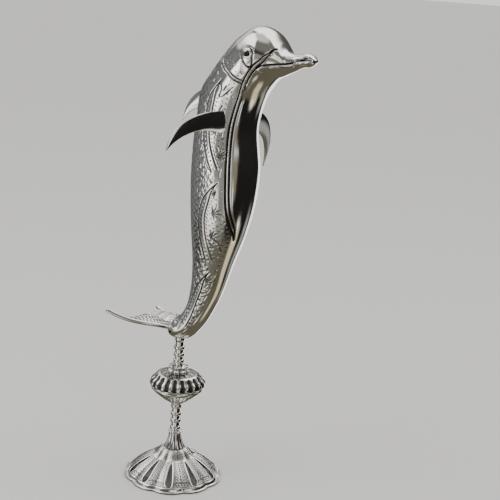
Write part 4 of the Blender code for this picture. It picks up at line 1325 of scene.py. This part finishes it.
@dataclass
class DolphinBody(SubAssembly):
    """The hollow trunk and the head soldered to it at the collar, with their chased ornament."""

    form: BodyForm
    trunk_step: float = 0.765  # from ring to ring
    head_step: float = 0.52
    border_width: float = 7.6  # of the zone of close columns
    mouth_width: float = 4.4
    border_offset: float = 2.0
    border_groove: float = 3.2
    border_taper: tuple[float, float] = (16.0, 22.0)  # over which the lines part below, and meet again
    head_groove: float = 0.68  # share of the grooves' width that is left on the head
    bead_height: float = 0.35
    twist: Barbs = Barbs(1.6, 2.6, 1.4, Cut(1.0, 0.2, 0.7))
    twist_start: float = 95.0  # how far below the collar the bead starts to be twisted
    mouth_cut: Cut = Cut(2.4, 1.2)
    chin_dots: Dots = Dots(3.4, 0.9, 0.3, 0.8)
    collar_cut: Cut = Cut(1.7, 0.55, 0.85)
    collar_offset: float = 1.6
    wave_offset: float = 3.9
    wave_cut: Cut = Cut(1.9, 0.5)
    wave_taper: float = 30.0  # over how much of its length a band closes to one line at the top
    tail_band: float = 24.0  # where the lowest band starts
    wave_dots: Dots = Dots(4.6, 0.95, 0.35, 0.95)
    outer_dots: Dots = Dots(4.6, 0.9, 0.35, 0.9)
    outer_offset: float = -6.9  # of the row of dots beneath the band
    leaf_cut: Cut = Cut(1.7, 0.5)
    scroll_cut: Cut = Cut(1.9, 0.6)
    dash_cut: Cut = Cut(1.2, 0.35)
    lip_offset: float = 2.9
    lip_height: float = 0.55
    opening: tuple[float, float] = (404.0, 421.0)  # the gap of the open beak's tip, painted dark as shade
    opening_shade_cut: Cut = Cut(7.0, 1.7)
    chin_angle: float = 14.0  # of the row of dots
    flank_end: float = 124.0  # where the back's wider columns start, in degrees
    least_zone: float = 0.3  # degrees that a zone of columns keeps where two lines meet
    plain_tail: tuple[float, float] = (14.0, 34.0)  # places over which the marks set in
    end_rings: int = 4

    def sheet(self, rows: np.ndarray, count: Columns) -> Sheet:
        """Lay out the bare skin, with columns that follow the mouth line and the plate's border.

        Round the belly, the mouth line, the border and the back each zone's columns are evenly spaced,
        so that the fine lines have close columns and the plain belly has few.

        Args:
            rows: places of the rings.
            count: columns of one flank.

        Returns:
            The skin, right flank first.
        """
        form = self.form
        border, mouth = form.border(rows), form.mouth(rows)
        section = form.section(rows)
        girth = 0.25 * np.linalg.norm(section[:, 0:2] - section[:, 2:4], axis=1) + 0.5 * section[:, 4]
        half = np.degrees(0.5 * self.border_width / (girth + 0.25 * self.border_width))
        slim = np.degrees(0.5 * self.mouth_width / (girth + 0.25 * self.mouth_width))
        start, end = border - half, border + half
        above = np.minimum(mouth + slim, start - self.least_zone)
        below = np.minimum(mouth - slim, above - self.least_zone)
        far = np.maximum(self.flank_end, end + 0.35 * (180.0 - end))
        edges = [np.zeros(len(rows)), below, above, start, end, far, np.full(len(rows), 180.0)]
        zones = [
            low[:, None] + (high - low)[:, None] * np.arange(number) / number
            for low, high, number in zip(edges, edges[1:], count)
        ]
        angles = np.concatenate([*zones, edges[-1][:, None]], axis=1)
        places = form.tilted(np.broadcast_to(rows[:, None], angles.shape), angles)
        right = form.skin(places, angles)
        steps_round = np.linalg.norm(np.diff(right, axis=1), axis=2)
        run = np.concatenate([np.zeros((len(rows), 1)), np.cumsum(steps_round, axis=1)], axis=1)
        at_border = sum(count[:3]) + count.border // 2
        breadth = run - run[:, at_border : at_border + 1]

        def both(values: np.ndarray) -> np.ndarray:
            """Repeat the right flank's values, mirrored, on the left one."""
            return np.concatenate([values, values[:, -2:0:-1]], axis=1).ravel()

        left = right[:, -2:0:-1] * np.array([1.0, -1.0, 1.0])
        skin = Surface(np.concatenate([right, left], axis=1))
        return Sheet(skin, both(places), both(angles), both(breadth))

    def plate_border(self, chasing: Chasing) -> None:
        """Chase the belly plate's border: two lines with a twisted bead between, which meet over the beak.

        Args:
            chasing: the marks so far.
        """
        form, keys = self.form, self.form.keys
        first, last = keys[PLATE_START], keys[CREASE_END - 1] - 1.0
        places = np.linspace(first + 1.0, last, 240)
        border = form.skin(places, form.border(places))
        found, across, along = chasing.ribbon(border, self.border_offset + self.border_groove)
        run = run_of(border)
        parting, meeting = self.border_taper
        open_share = ramp(first, first + parting, places) * (1.0 - ramp(last - meeting, last, places))
        apart = self.border_offset * np.interp(along, run, open_share)
        full = np.interp(along, run, ramp(keys[CROWN_STATION] + 16.0, keys[COLLAR_STATION] - 75.0, places))
        width = self.border_groove * (self.head_groove + (1.0 - self.head_groove) * full)
        for side in (-1.0, 1.0):
            chasing.press(found, groove(across - side * apart, width), 1.0)
        chasing.press(found, 1.0 - ramp(0.4, 1.4, np.abs(across)), -self.bead_height)
        # painted shade: a soft dark band along the crease over the beak, where the grooves narrow
        chasing.press(found, (1.0 - ramp(1.0, 2.4, np.abs(across))) * (1.0 - full) ** 1.5, 0.05, 0.5)
        chasing.feather(border[places > keys[COLLAR_STATION] - self.twist_start], self.twist)

    def mouth_and_collar(self, chasing: Chasing, sheet: Sheet) -> None:
        """Chase the mouth line with its lip, the dots on the chin and the collar, and paint the open tip's
        shade as dark strokes.

        Args:
            chasing: the marks so far.
            sheet: the sheet that they are on.
        """
        form, keys = self.form, self.form.keys
        start, end = self.opening
        places = np.linspace(keys[MOUTH_STATION] - 1.0, start - 3.0, 130)
        mouth = form.skin(places, form.mouth(places))
        chasing.grooves(mouth, self.mouth_cut)
        found, across, _ = chasing.ribbon(mouth, 6.0)
        lip = 1.0 - ramp(0.6, 2.0, np.abs(np.abs(across) - self.lip_offset))
        below = sheet.angles[found] < form.mouth(sheet.places[found])  # the lip is on that side alone
        chasing.press(found, lip * below, -self.lip_height)
        # painted shade: two dark strokes stand for the shadowed gap of the open tip
        for low, high, lift in ((start, end, 9.0), (end - 10.0, end - 1.0, 32.0)):  # two lobes
            places = np.linspace(low, high, 14)
            chasing.stroke(form.skin(places, form.mouth(places) + lift), self.opening_shade_cut)
        places = np.linspace(keys[MOUTH_STATION] - 2.0, keys[CHIN_STATION], 60)
        chasing.dots(form.skin(places, np.full(60, self.chin_angle)), self.chin_dots)
        angles = np.linspace(66.0, 180.0, 60)
        collar = form.skin(form.tilted(np.full(60, keys[COLLAR_STATION]), angles), angles)
        chasing.grooves(collar, self.collar_cut, (-self.collar_offset, self.collar_offset))

    def waves(self, chasing: Chasing) -> None:
        """Chase the wave bands: two lines with a row of dots between them, and a second row beneath.

        Args:
            chasing: the marks so far.
        """
        form = self.form
        top = form.wave_top * form.height
        length = form.wave_length * form.height
        highest = form.keys[COLLAR_STATION] - 14.0
        for low, high in ((top, highest), (top - length, top), (self.tail_band, top - length)):
            places = np.linspace(low + 7.0, high - 2.0, 110)
            band = form.skin(places, form.wave(places))
            found, across, along = chasing.ribbon(band, self.wave_offset + self.wave_cut.width)
            closing = ramp(0.0, self.wave_taper, run_of(band)[-1] - along)
            for side in (-1.0, 1.0):
                line = groove(across - side * self.wave_offset * closing, self.wave_cut.width)
                chasing.press(found, line * ramp(0.0, 7.0, along), self.wave_cut.depth)
            chasing.dots(band[4:-22], self.wave_dots)
            chasing.dots(band[4:-12], self.outer_dots, self.outer_offset)

    def ornament(self, chasing: Chasing, sheet: Sheet) -> None:
        """Fill the back and the tail with small strokes, and thinly the flanks below the waves.

        Args:
            chasing: the marks so far.
            sheet: the sheet that they are on.
        """
        form, places, breadth = self.form, sheet.places, sheet.breadth
        collar = form.keys[COLLAR_STATION]
        over = sheet.angles - form.wave(places)
        trunk = 1.0 - ramp(-3.0, -1.0, places - collar - 4.0)
        back = ramp(7.0, 9.5, over) * trunk
        beneath = ramp(4.5, 6.0, breadth) * (1.0 - ramp(-16.0, -13.0, over)) * trunk
        tail = 1.0 - ramp(104.0, 122.0, places)
        past_collar = places - form.tilted(np.full_like(places, collar), sheet.angles)
        nape = ramp(95.0, 99.0, sheet.angles) * ramp(2.6, 3.6, past_collar)
        nape *= 1.0 - ramp(11.0, 13.0, past_collar)
        for where, kinds in (
            (back, BACK_STROKES), (beneath * tail, TAIL_STROKES), (beneath * (1.0 - tail), FLANK_STROKES),
            (nape, NAPE_STROKES),
        ):
            for strokes in kinds:
                chasing.field(places, breadth, where, strokes)

    def leaves(self, chasing: Chasing) -> None:
        """Chase fans of leaves, single scrolls, and a slanting row of dashes on the cheek.

        Args:
            chasing: the marks so far.
        """
        form = self.form
        for place, angle, heading, length in PALMETTES:
            for turn, share in FAN_LEAVES:
                bearing = np.radians(heading + turn * np.linspace(0.5, 1.3, 7))
                out = length * share * np.linspace(0.14, 1.0, 7)
                path = form.local(place, angle, out * np.cos(bearing), out * np.sin(bearing))
                chasing.stroke(path, self.leaf_cut)
        for keys in SCROLLS:
            chasing.stroke(form.trace(keys, 14), self.scroll_cut)
        for step in range(8):
            start = (333.0 + 1.7 * step, 75.0 + 2.4 * step)
            chasing.stroke(form.trace((start, (start[0] + 4.2, start[1] - 3.6)), 5), self.dash_cut)

    def eye_outline(self, chasing: Chasing, eye: "Eye") -> None:
        """Chase the egg-shaped line round the eye, and the row of dots down its beak side.

        Args:
            chasing: the marks so far.
            eye: gives the place and the lid's size.
        """
        turn = np.linspace(0.0, math.tau, 60)
        up = np.cos(turn)
        along = eye.lid_width * np.sin(turn)
        around = np.where(up > 0.0, eye.lid_above, eye.lid_below) * up
        along = along + eye.lid_lean * np.minimum(around, 0.0)
        lid = self.form.local(eye.place, eye.angle, along, around)
        chasing.grooves(lid, eye.lid_cut)
        chasing.grooves(lid[12:36], eye.lid_shade)
        outside = self.form.local(eye.place, eye.angle, 1.3 * along[4:34], 1.14 * around[4:34])
        chasing.dots(outside, eye.lid_dots)

    def build(self) -> None:
        """Chase both bare sheets, close their ends, and show them."""
        form = self.form
        tail, collar, end = form.keys[[0, COLLAR_STATION, -1]]
        eye = Eye(self.seat, self.metal, form)
        for name, low, high, step, count in (
            ("chased_trunk", tail, collar, self.trunk_step, TRUNK_COLUMNS),
            ("chased_head", collar, end, self.head_step, HEAD_COLUMNS),
        ):
            rows = np.linspace(low, high, int((high - low) / step))
            sheet = self.sheet(rows, count)
            chasing = Chasing.on(sheet.surface)
            self.ornament(chasing, sheet)
            self.plate_border(chasing)
            self.mouth_and_collar(chasing, sheet)
            self.waves(chasing)
            self.leaves(chasing)
            self.eye_outline(chasing, eye)
            self.mirror(chasing, sheet.surface)
            chased = chasing.result(sheet.surface, ramp(*self.plain_tail, rows)[:, None])
            chased = self.rounded_ends(chased, low == tail, high == end)
            chased.points = self.seat.of(chased.points)
            self.show(name, chased.mesh(name), Slot.POLISHED, "dolphin_body")

    def mirror(self, chasing: Chasing, surface: Surface) -> None:
        """Copy the right flank's marks to the left one.

        Args:
            chasing: the marks.
            surface: the sheet that they are on.
        """
        grid = surface.points.shape[:2]
        half = grid[1] // 2
        for marks in (chasing.sunk, chasing.dark):
            rows = marks.reshape(grid)
            rows[:, half + 1 :] = rows[:, half - 1 : 0 : -1]

    def rounded_ends(self, surface: Surface, at_tail: bool, at_beak: bool) -> Surface:
        """Draw an outer end's ring in to a point over a few shrinking rings.

        Args:
            surface: the chased sheet.
            at_tail: whether its first ring is the tail's end.
            at_beak: whether its last ring is the beak's end.

        Returns:
            The sheet with those rings added.
        """
        shares = np.maximum(np.cos(np.linspace(0.0, 0.5 * math.pi, self.end_rings + 1))[1:], 0.08)
        blank = np.zeros((self.end_rings, surface.points.shape[1]))
        points, dark = surface.points, surface.dark
        if at_tail:
            middle = points[0].mean(axis=0)
            rings = middle + (points[0] - middle) * shares[::-1, None, None]
            points, dark = np.concatenate([rings, points]), np.concatenate([blank, dark])
        if at_beak:
            middle = points[-1].mean(axis=0)
            rings = middle + (points[-1] - middle) * shares[:, None, None]
            points, dark = np.concatenate([points, rings]), np.concatenate([dark, blank])
        return Surface(points, dark, 60.0)


@dataclass
class Eye(SubAssembly):
    """A domed ring round a pupil, laid on the head's skin inside its egg-shaped lid line."""

    form: BodyForm
    place: float = 355.0
    angle: float = 96.0
    ring_radius: float = 4.3
    ring_wire: float = 1.4
    ring_lift: float = 0.7
    pupil: float = 2.8
    pupil_lift: float = 1.2
    lid_width: float = 6.6
    lid_above: float = 7.4
    lid_below: float = 13.0
    lid_lean: float = 0.62  # how far the lid's lower end swings away from the beak
    lid_cut: Cut = Cut(1.8, 0.45, 0.85)
    lid_shade: Cut = Cut(2.3, 0.6)  # bolder on the beak side and below
    lid_dots: Dots = Dots(2.4, 0.8, 0.3, 0.8)
    columns: int = 48

    def build(self, side: Side) -> None:
        """Lift a round patch of the head's skin by the eye's profile.

        Args:
            side: which eye to make.
        """
        half = np.linspace(0.0, math.pi, 13)
        dome = np.linspace(0.0, 0.5 * math.pi, 8)
        inner = self.ring_radius - self.ring_wire
        radii = np.concatenate(
            [
                [self.ring_radius + self.ring_wire], self.ring_radius + self.ring_wire * np.cos(half),
                [0.5 * (inner + self.pupil)], self.pupil * np.cos(dome[:-1]), [0.05],
            ]
        )
        lift = np.concatenate(
            [
                [-1.0], self.ring_lift * np.sin(half),
                [-0.15], self.pupil_lift * np.sin(dome[:-1]), [self.pupil_lift],
            ]
        )
        # The ring is bright, the gap inside it and the pupil are dark
        dark = np.concatenate([[0.4], np.zeros(11), [0.5, 1.0, 1.0], np.full(8, 0.97)])
        turn = np.arange(self.columns) * math.tau / self.columns
        points = self.form.local(
            self.place, self.angle, radii[:, None] * np.cos(turn), radii[:, None] * np.sin(turn)
        )
        middle = self.form.skin(self.place, self.angle)
        around = self.form.skin(self.place, self.angle + 1.0) - middle
        along = self.form.skin(self.place + 1.0, self.angle) - middle
        facing = np.cross(around, along)
        facing *= -np.sign(facing[1]) / np.linalg.norm(facing)
        points = points + lift[:, None, None] * facing
        points[..., 1] *= -side.value
        surface = Surface(self.seat.of(points), np.repeat(dark[:, None], self.columns, axis=1))
        name = f"eye_{side.name.lower()}"
        self.show(name, surface.mesh(name), Slot.POLISHED)


# Fins

FLIPPER_RIGHT = (
    ((0.170, -0.065, 0.752), (0.150, -0.130, 0.757), (0.085, -0.222, 0.745), (0.078, -0.246, 0.645)),
    ((0.164, -0.065, 0.678), (0.145, -0.125, 0.706), (0.105, -0.195, 0.705), (0.080, -0.246, 0.640)),
)
FLIPPER_LEFT = (
    ((0.185, 0.062, 0.745), (0.205, 0.145, 0.735), (0.178, 0.206, 0.640), (0.139, 0.220, 0.556)),
    ((0.168, 0.062, 0.678), (0.180, 0.120, 0.685), (0.166, 0.178, 0.640), (0.137, 0.219, 0.551)),
)
DORSAL_FIN = (
    ((0.060, 0.0, 0.808), (0.000, 0.0, 0.788), (-0.028, 0.0, 0.745), (-0.031, 0.0, 0.694)),
    ((0.060, 0.0, 0.738), (0.016, 0.0, 0.744), (-0.014, 0.0, 0.728), (-0.031, 0.0, 0.690)),
)
FLUKE_LEAD = ((-0.008, 0.0), (-0.012, 0.078), (-0.105, 0.125), (-0.187, 0.142))
FLUKE_TRAIL = ((-0.120, 0.0), (-0.100, 0.060), (-0.113, 0.106), (-0.191, 0.142))
FLUKE_FAR_TRAIL = ((-0.120, 0.0), (-0.120, 0.060), (-0.155, 0.096), (-0.191, 0.142))


def blade(
    lead: np.ndarray, trail: np.ndarray, thickness: np.ndarray, edge: float, columns: int, roll: float = 0.0
) -> np.ndarray:
    """A fin between two edge lines: a lens in section whose edges are rounded.

    The half thickness over the chord's share c is the edge's half, as a quarter circle at both
    ends, plus the rest times the sine of c half a turn long. A rolled leading edge is at least as
    thick as a round wire that lies along it.

    Args:
        lead: points of the leading edge.
        trail: points of the trailing edge.
        thickness: the blade's greatest thickness at each row.
        edge: thickness of the edge.
        columns: points across one face.
        roll: radius of the rolled leading edge, or 0.

    Returns:
        Points (rows, 2 * columns, 3).
    """
    chord = trail - lead
    span = np.gradient(0.5 * (lead + trail), axis=0)
    normal = np.cross(chord, span)
    normal /= np.linalg.norm(normal, axis=1)[:, None]
    across = 0.5 - 0.5 * np.cos(np.linspace(0.0, math.pi, columns))
    bulge = np.sin(math.pi * across) ** 0.8
    width = np.linalg.norm(chord, axis=1)[:, None]
    near = np.minimum(across, 1.0 - across) * width
    thin = np.minimum(edge, thickness)[:, None]
    corner = np.sqrt(np.clip(1.0 - (1.0 - np.clip(near / (0.5 * thin), 0.0, 1.0)) ** 2, 0.0, 1.0))
    half = 0.5 * (thin * corner + (thickness[:, None] - thin) * bulge)
    if roll:
        wire = np.minimum(roll, 0.5 * width)
        from_middle = np.clip(across * width / wire - 1.0, -1.0, 1.0)
        half = np.maximum(half, wire * np.sqrt(1.0 - from_middle**2))
    line = lead[:, None] + across[:, None] * chord[:, None]
    upper = line + half[..., None] * normal[:, None]
    lower = line - half[..., None] * normal[:, None]
    return np.concatenate([upper, lower[:, -2:0:-1]], axis=1)


@dataclass
class Fin(SubAssembly):
    """A flipper or the dorsal fin: a polished blade of sheet between two curved edges."""

    name: str
    node: str
    edges: Sequence[Sequence[Sequence[float]]]
    thickness: float
    figure_height: float = FIGURE_HEIGHT
    root_flare: float = 2.6
    edge: float = 1.2
    rows: int = 90
    columns: int = 34

    def build(self) -> None:
        """Carry the lens along the two edge curves to the tip."""
        t = np.sin(np.linspace(0.0, 0.5 * math.pi, self.rows))
        lead, trail = (bezier(edge, t) * self.figure_height for edge in self.edges)
        thick = self.thickness * np.sqrt(1.0 - 0.8 * t) + self.root_flare * np.exp(-((t / 0.09) ** 2))
        points = blade(lead, trail, thick, self.edge, self.columns)
        surface = Surface(self.seat.of(points))
        self.show(self.name, surface.mesh(self.name), Slot.POLISHED, self.node)


@dataclass
class TailFluke(SubAssembly):
    """The two-lobed fluke with its rolled leading edge, ribs and hatching."""

    figure_height: float = FIGURE_HEIGHT
    lift: float = 0.027
    slope: float = 0.29
    twist: float = 0.195
    droop: float = 0.018
    curl: float = 0.006
    thickness: float = 5.0
    edge: float = 1.2
    roll: float = 2.2
    tip_share: float = 0.03  # how much of a lobe its rounded tip takes
    far_rise: float = 7.0  # how far the far lobe's front edge swings up beside the tail
    ribs: tuple[float, ...] = (0.14, 0.36, 0.6, 0.84)  # shares of the way from the front edge back
    rib_cut: Cut = Cut(2.0, 0.5)
    hatching: Barbs = Barbs(4.8, 4.2, 1.1, Cut(1.5, 0.4, 0.9))
    rows: int = 261
    columns: int = 96

    def raised(self, edge: np.ndarray, side: np.ndarray) -> np.ndarray:
        """Set an edge line in space: it slopes up backwards, twists across, and droops at the tips.

        The height is linear in the distances back and across, less the square of the reach, plus one
        whole wave along it.

        Args:
            edge: the line's plan, (x, y) as shares of the figure's height.
            side: from -1 at the near tip to 1 at the far one.

        Returns:
            The points in millimetres.
        """
        reach = np.abs(side)
        across = edge[:, 1] * np.sign(side)
        rise = self.slope * (-0.03 - edge[:, 0]) - self.twist * across - self.droop * reach**2
        rise += self.curl * np.sin(math.tau * reach)
        return np.stack([edge[:, 0], across, self.lift + rise], axis=1) * self.figure_height

    def build(self) -> None:
        """Carry the blade from tip to tip, then cut ribs and hatching into its upper face."""
        side = np.linspace(-1.0, 1.0, self.rows)
        reach = np.abs(side)
        lead, trail, far = (
            self.raised(bezier(edge, reach), side) for edge in (FLUKE_LEAD, FLUKE_TRAIL, FLUKE_FAR_TRAIL)
        )
        trail = np.where(side[:, None] > 0.0, far, trail)
        swing = np.sin(math.pi * np.clip(reach / 0.8, 0.0, 1.0))
        lead[:, 2] += self.far_rise * np.where(side > 0.0, swing, 0.0)
        tip = np.clip((reach - 1.0 + self.tip_share) / self.tip_share, 0.0, 1.0)
        rounding = np.maximum(np.sqrt(1.0 - tip**2), 0.06)
        chord = trail - lead
        width = np.linalg.norm(chord, axis=1)
        trail = lead + chord * (np.maximum(width, 2.0 * self.roll) * rounding / width)[:, None]
        thick = self.thickness * np.sqrt(1.0 - 0.85 * reach**2) * rounding
        surface = Surface(blade(lead, trail, thick, self.edge, self.columns, self.roll))
        chasing = Chasing.on(surface)
        for half in (slice(0, self.rows // 2), slice(self.rows - 1, self.rows // 2, -1)):
            front, back = lead[half], trail[half]
            for share in self.ribs:
                path = (front + (back - front) * share)[4::2]
                chasing.grooves(path, self.rib_cut)
                chasing.feather(path, self.hatching)
        across = 0.5 - 0.5 * np.cos(np.linspace(0.0, math.pi, self.columns))
        from_edge = np.concatenate([across, across[-2:0:-1]]) * width[:, None]
        fade = ramp(2.0 * self.roll, 2.0 * self.roll + 1.2, from_edge)  # plain on the roll and at the tips
        fade = fade * (1.0 - ramp(0.86, 0.96, reach))[:, None]
        chased = chasing.result(surface, fade)
        chased.points = self.seat.of(chased.points)
        self.show("fluke", chased.mesh("fluke"), Slot.CHASED, "tail_fluke")


# Studio

@dataclass(frozen=True)
class Softbox:
    """A soft light that the metal mirrors: its bearing, height and half sizes in degrees.

    Bearings run from +X towards +Y. The strength is the light's brightness, 1 for white paper.
    """

    bearing: float
    height: float
    half_width: float
    half_height: float
    strength: float
    softness: float  # degrees over which its edge fades
    colour: str = "#ffffff"


ROOM = (
    Softbox(135.0, -8.0, 45.0, 24.0, 0.20, 9.0, "#e6ece8"),
    Softbox(-157.0, 0.0, 27.0, 24.0, 0.24, 9.0, "#e9edf0"),
    Softbox(-95.0, -30.0, 45.0, 9.0, 0.36, 8.0, "#f2f0e4"),
    Softbox(-84.0, -8.0, 20.0, 15.0, 0.30, 6.0, "#f2f2ee"),
    Softbox(-104.0, -25.0, 18.0, 8.0, 1.5, 5.0, "#fbfbf9"),
    Softbox(-112.0, -8.0, 8.0, 11.0, 1.5, 5.0, "#fbfbf9"),
    Softbox(-118.0, -3.0, 8.0, 11.0, 2.8, 5.0),
    Softbox(-150.0, 50.0, 42.0, 20.0, 2.2, 7.0),
    Softbox(92.0, 55.0, 55.0, 22.0, 2.2, 7.0),
    Softbox(140.0, 30.0, 26.0, 12.0, 0.9, 9.0),
    Softbox(103.0, -14.0, 24.0, 18.0, 2.0, 3.0),
    Softbox(58.0, -32.0, 9.0, 9.0, 0.4, 5.0, "#f2f6f2"),
    Softbox(12.0, -47.0, 15.0, 12.0, 0.8, 5.0, "#fff0cf"),
    Softbox(8.0, -36.0, 7.0, 4.0, 1.4, 3.0, "#fffaf0"),
    Softbox(-47.0, -8.0, 19.0, 15.0, 0.34, 4.0, "#dccfb2"),
    Softbox(-40.0, 15.0, 17.0, 9.0, 1.3, 4.0),
    Softbox(-18.0, 32.0, 13.0, 10.0, 1.1, 4.0),
    Softbox(-53.0, -22.0, 7.0, 6.0, 1.2, 3.0),
    Softbox(-42.0, -57.0, 7.0, 4.0, 0.9, 3.0),
)


class Lamp(NamedTuple):
    """A square soft light: where it hangs and the length of its side in metres, and watts."""

    name: str
    place: tuple[float, float, float]
    size: float
    power: float


LAMPS = (
    Lamp("key_light", (-0.9, -1.3, 1.9), 1.3, 14.0),
    Lamp("fill_light", (1.6, 0.9, 1.6), 1.2, 8.0),
)


@dataclass
class Studio:
    """A plain pale floor, soft lights round the figurine, and the camera at the photograph's angle."""

    floor_half: float = 30.0  # metres
    aim_height: float = 0.25  # of the figurine's middle, in metres
    sky: str = "#ececea"  # what the eye sees behind the figurine
    sky_strength: float = 1.3
    table: str = "#625e4f"  # what the metal mirrors, from the bottom up
    room: str = "#211f1e"
    haze: str = "#74726c"
    ceiling: str = "#e2e2e0"
    lens: float = 79.2
    sensor: float = 36.0
    camera_place: tuple[float, float, float] = (0.64229, -0.98904, 0.57521)  # from the stem's axis
    right: tuple[float, float, float] = (0.86008, 0.50591, 0.06574)
    up: tuple[float, float, float] = (-0.18083, 0.18183, 0.96656)
    forward: tuple[float, float, float] = (-0.47704, 0.84320, -0.24787)

    def floor(self) -> None:
        """Lay the paper that everything stands on."""
        half = self.floor_half
        mesh = bpy.data.meshes.new("paper_floor")
        corners = [(-half, -half, 0.0), (half, -half, 0.0), (half, half, 0.0), (-half, half, 0.0)]
        mesh.from_pydata(corners, [], [(0, 1, 2, 3)])
        mesh.materials.append(BackdropPaper().material())
        paper = bpy.data.objects.new("paper_floor", mesh)
        paper.visible_glossy = False
        bpy.context.scene.collection.objects.link(paper)

    def lamp(self, lamp: Lamp) -> None:
        """Hang a lamp that faces the figurine's middle and that the metal doesn't mirror.

        Args:
            lamp: its place, size and power.
        """
        light = bpy.data.lights.new(lamp.name, "AREA")
        light.shape = "SQUARE"
        light.size = lamp.size
        light.energy = lamp.power
        holder = bpy.data.objects.new(lamp.name, light)
        bpy.context.scene.collection.objects.link(holder)
        holder.visible_glossy = False
        holder.location = lamp.place
        aim = Vector((0.0, 0.0, self.aim_height)) - Vector(lamp.place)
        holder.rotation_euler = aim.to_track_quat("-Z", "Y").to_euler()

    def panel(
        self, tree: bpy.types.NodeTree, aim: tuple[bpy.types.NodeSocket, bpy.types.NodeSocket], box: Softbox
    ) -> bpy.types.NodeSocket:
        """How much of a softbox lies in a direction: 1 inside, fading over its softness at the edge.

        Args:
            tree: the world's nodes.
            aim: bearing and height of the direction, in radians.
            box: the softbox.

        Returns:
            The socket with the share.
        """
        shares = []
        halves = ((aim[0], box.bearing, box.half_width), (aim[1], box.height, box.half_height))
        for angle, middle, half in halves:
            off = add_node(tree, "ShaderNodeMath", {"operation": "SUBTRACT"}, {"0": angle})
            off.inputs[1].default_value = math.radians(middle)
            turn = add_node(tree, "ShaderNodeMath", {"operation": "WRAP"}, {"0": off.outputs[0]})
            turn.inputs[1].default_value, turn.inputs[2].default_value = math.pi, -math.pi
            size = add_node(tree, "ShaderNodeMath", {"operation": "ABSOLUTE"}, {"0": turn.outputs[0]})
            edge = {
                "interpolation_type": "SMOOTHSTEP",
                "From Min": math.radians(half + box.softness), "From Max": math.radians(half - box.softness),
            }
            share = add_node(tree, "ShaderNodeMapRange", edge, {"Value": size.outputs[0]})
            shares.append(share.outputs["Result"])
        both = add_node(tree, "ShaderNodeMath", {"operation": "MULTIPLY"}, {"0": shares[0], "1": shares[1]})
        return both.outputs[0]

    def world(self) -> None:
        """Surround the figurine: even and pale to the eye, and to the metal a dim room with softboxes."""
        world = bpy.data.worlds.new("studio")
        bpy.context.scene.world = world
        world.use_nodes = True
        tree = world.node_tree
        way = add_node(tree, "ShaderNodeTexCoord", {}, {}).outputs["Generated"]
        parts = add_node(tree, "ShaderNodeSeparateXYZ", {}, {"0": way})
        bearing = add_node(
            tree, "ShaderNodeMath", {"operation": "ARCTAN2"},
            {"0": parts.outputs["Y"], "1": parts.outputs["X"]},
        )
        height = add_node(tree, "ShaderNodeMath", {"operation": "ARCSINE"}, {"0": parts.outputs["Z"]})
        # Sines of the heights over which the table turns into the room, the haze and the ceiling
        zones = ((-0.70, -0.60, self.room), (0.15, 0.6, self.haze), (0.86, 0.97, self.ceiling))
        light = None
        for low, high, colour in zones:
            edge = {"interpolation_type": "SMOOTHSTEP", "From Min": low, "From Max": high}
            share = add_node(tree, "ShaderNodeMapRange", edge, {"Value": parts.outputs["Z"]})
            zone = add_node(tree, "ShaderNodeMix", {"data_type": "RGBA"}, {"0": share.outputs["Result"]})
            zone.inputs[7].default_value = linear(colour)
            if light is None:
                zone.inputs[6].default_value = linear(self.table)
            else:
                tree.links.new(light.outputs[2], zone.inputs[6])
            light = zone
        for box in ROOM:
            share = self.panel(tree, (bearing.outputs[0], height.outputs[0]), box)
            glow = add_node(tree, "ShaderNodeMix", {"data_type": "RGBA"}, {"0": share, "6": light.outputs[2]})
            glow.inputs[7].default_value = [part * box.strength for part in linear(box.colour)]
            light = glow
        mirrored = tree.nodes["Background"]
        tree.links.new(light.outputs[2], mirrored.inputs["Color"])
        seen = add_node(tree, "ShaderNodeBackground", {"Strength": self.sky_strength}, {})
        seen.inputs["Color"].default_value = linear(self.sky)
        ray = add_node(tree, "ShaderNodeLightPath", {}, {})
        mix = add_node(
            tree, "ShaderNodeMixShader", {},
            {"0": ray.outputs["Is Glossy Ray"], "1": seen.outputs[0], "2": mirrored.outputs[0]},
        )
        tree.links.new(mix.outputs[0], tree.nodes["World Output"].inputs["Surface"])

    def camera(self, seat: Seat) -> None:
        """Set the camera at the photograph's viewpoint.

        Args:
            seat: gives the stem's axis, from which the viewpoint was measured.
        """
        data = bpy.data.cameras.new("camera")
        data.lens = self.lens
        data.sensor_width = self.sensor
        camera = bpy.data.objects.new("camera", data)
        bpy.context.scene.collection.objects.link(camera)
        axes = Matrix((self.right, self.up, [-part for part in self.forward])).transposed()
        place = Vector(self.camera_place) + Vector((seat.x, seat.y, 0.0)) * MM
        camera.matrix_world = Matrix.Translation(place) @ axes.to_4x4()
        bpy.context.scene.camera = camera

    def build(self, seat: Seat) -> None:
        """Set up the whole studio.

        Args:
            seat: a seat on the stem's axis.
        """
        self.floor()
        for lamp in LAMPS:
            self.lamp(lamp)
        self.world()
        self.camera(seat)


def main() -> None:
    """Build the figurine from the foot up, then the studio."""
    logging.basicConfig(level=logging.INFO, format="%(message)s")
    plate = POLISHED_PLATE.material()
    hammered = HAMMERED_PLATE.material()
    worn = CHASED_PLATE.material()
    tarnish_and_shade = TARNISH_AND_SHADE_BRASS.material()
    foot = Foot(Seat.under("foot"), worn, tarnish_and_shade)
    foot.build()
    LowerStem(Seat.under("lower_stem"), plate).build()
    Knop(Seat.under("knop"), plate).build()
    upper = UpperStem(Seat.under("upper_stem"), plate)
    upper.build()
    seat = upper.seat.raised(upper.length + SEAT_GAP)
    form = BodyForm()
    DolphinBody(seat, hammered, form).build()
    eye = Eye(seat, plate, form)
    for side in Side:
        eye.build(side)
    Fin(seat, plate, "near_flipper", "flipper_right", FLIPPER_RIGHT, 4.2).build()
    Fin(seat, plate, "far_flipper", "flipper_left", FLIPPER_LEFT, 4.2).build()
    Fin(seat, plate, "back_fin", "dorsal_fin", DORSAL_FIN, 3.6).build()
    TailFluke(seat, worn).build()
    Studio().build(foot.seat)


if __name__ == "__main__":
    main()
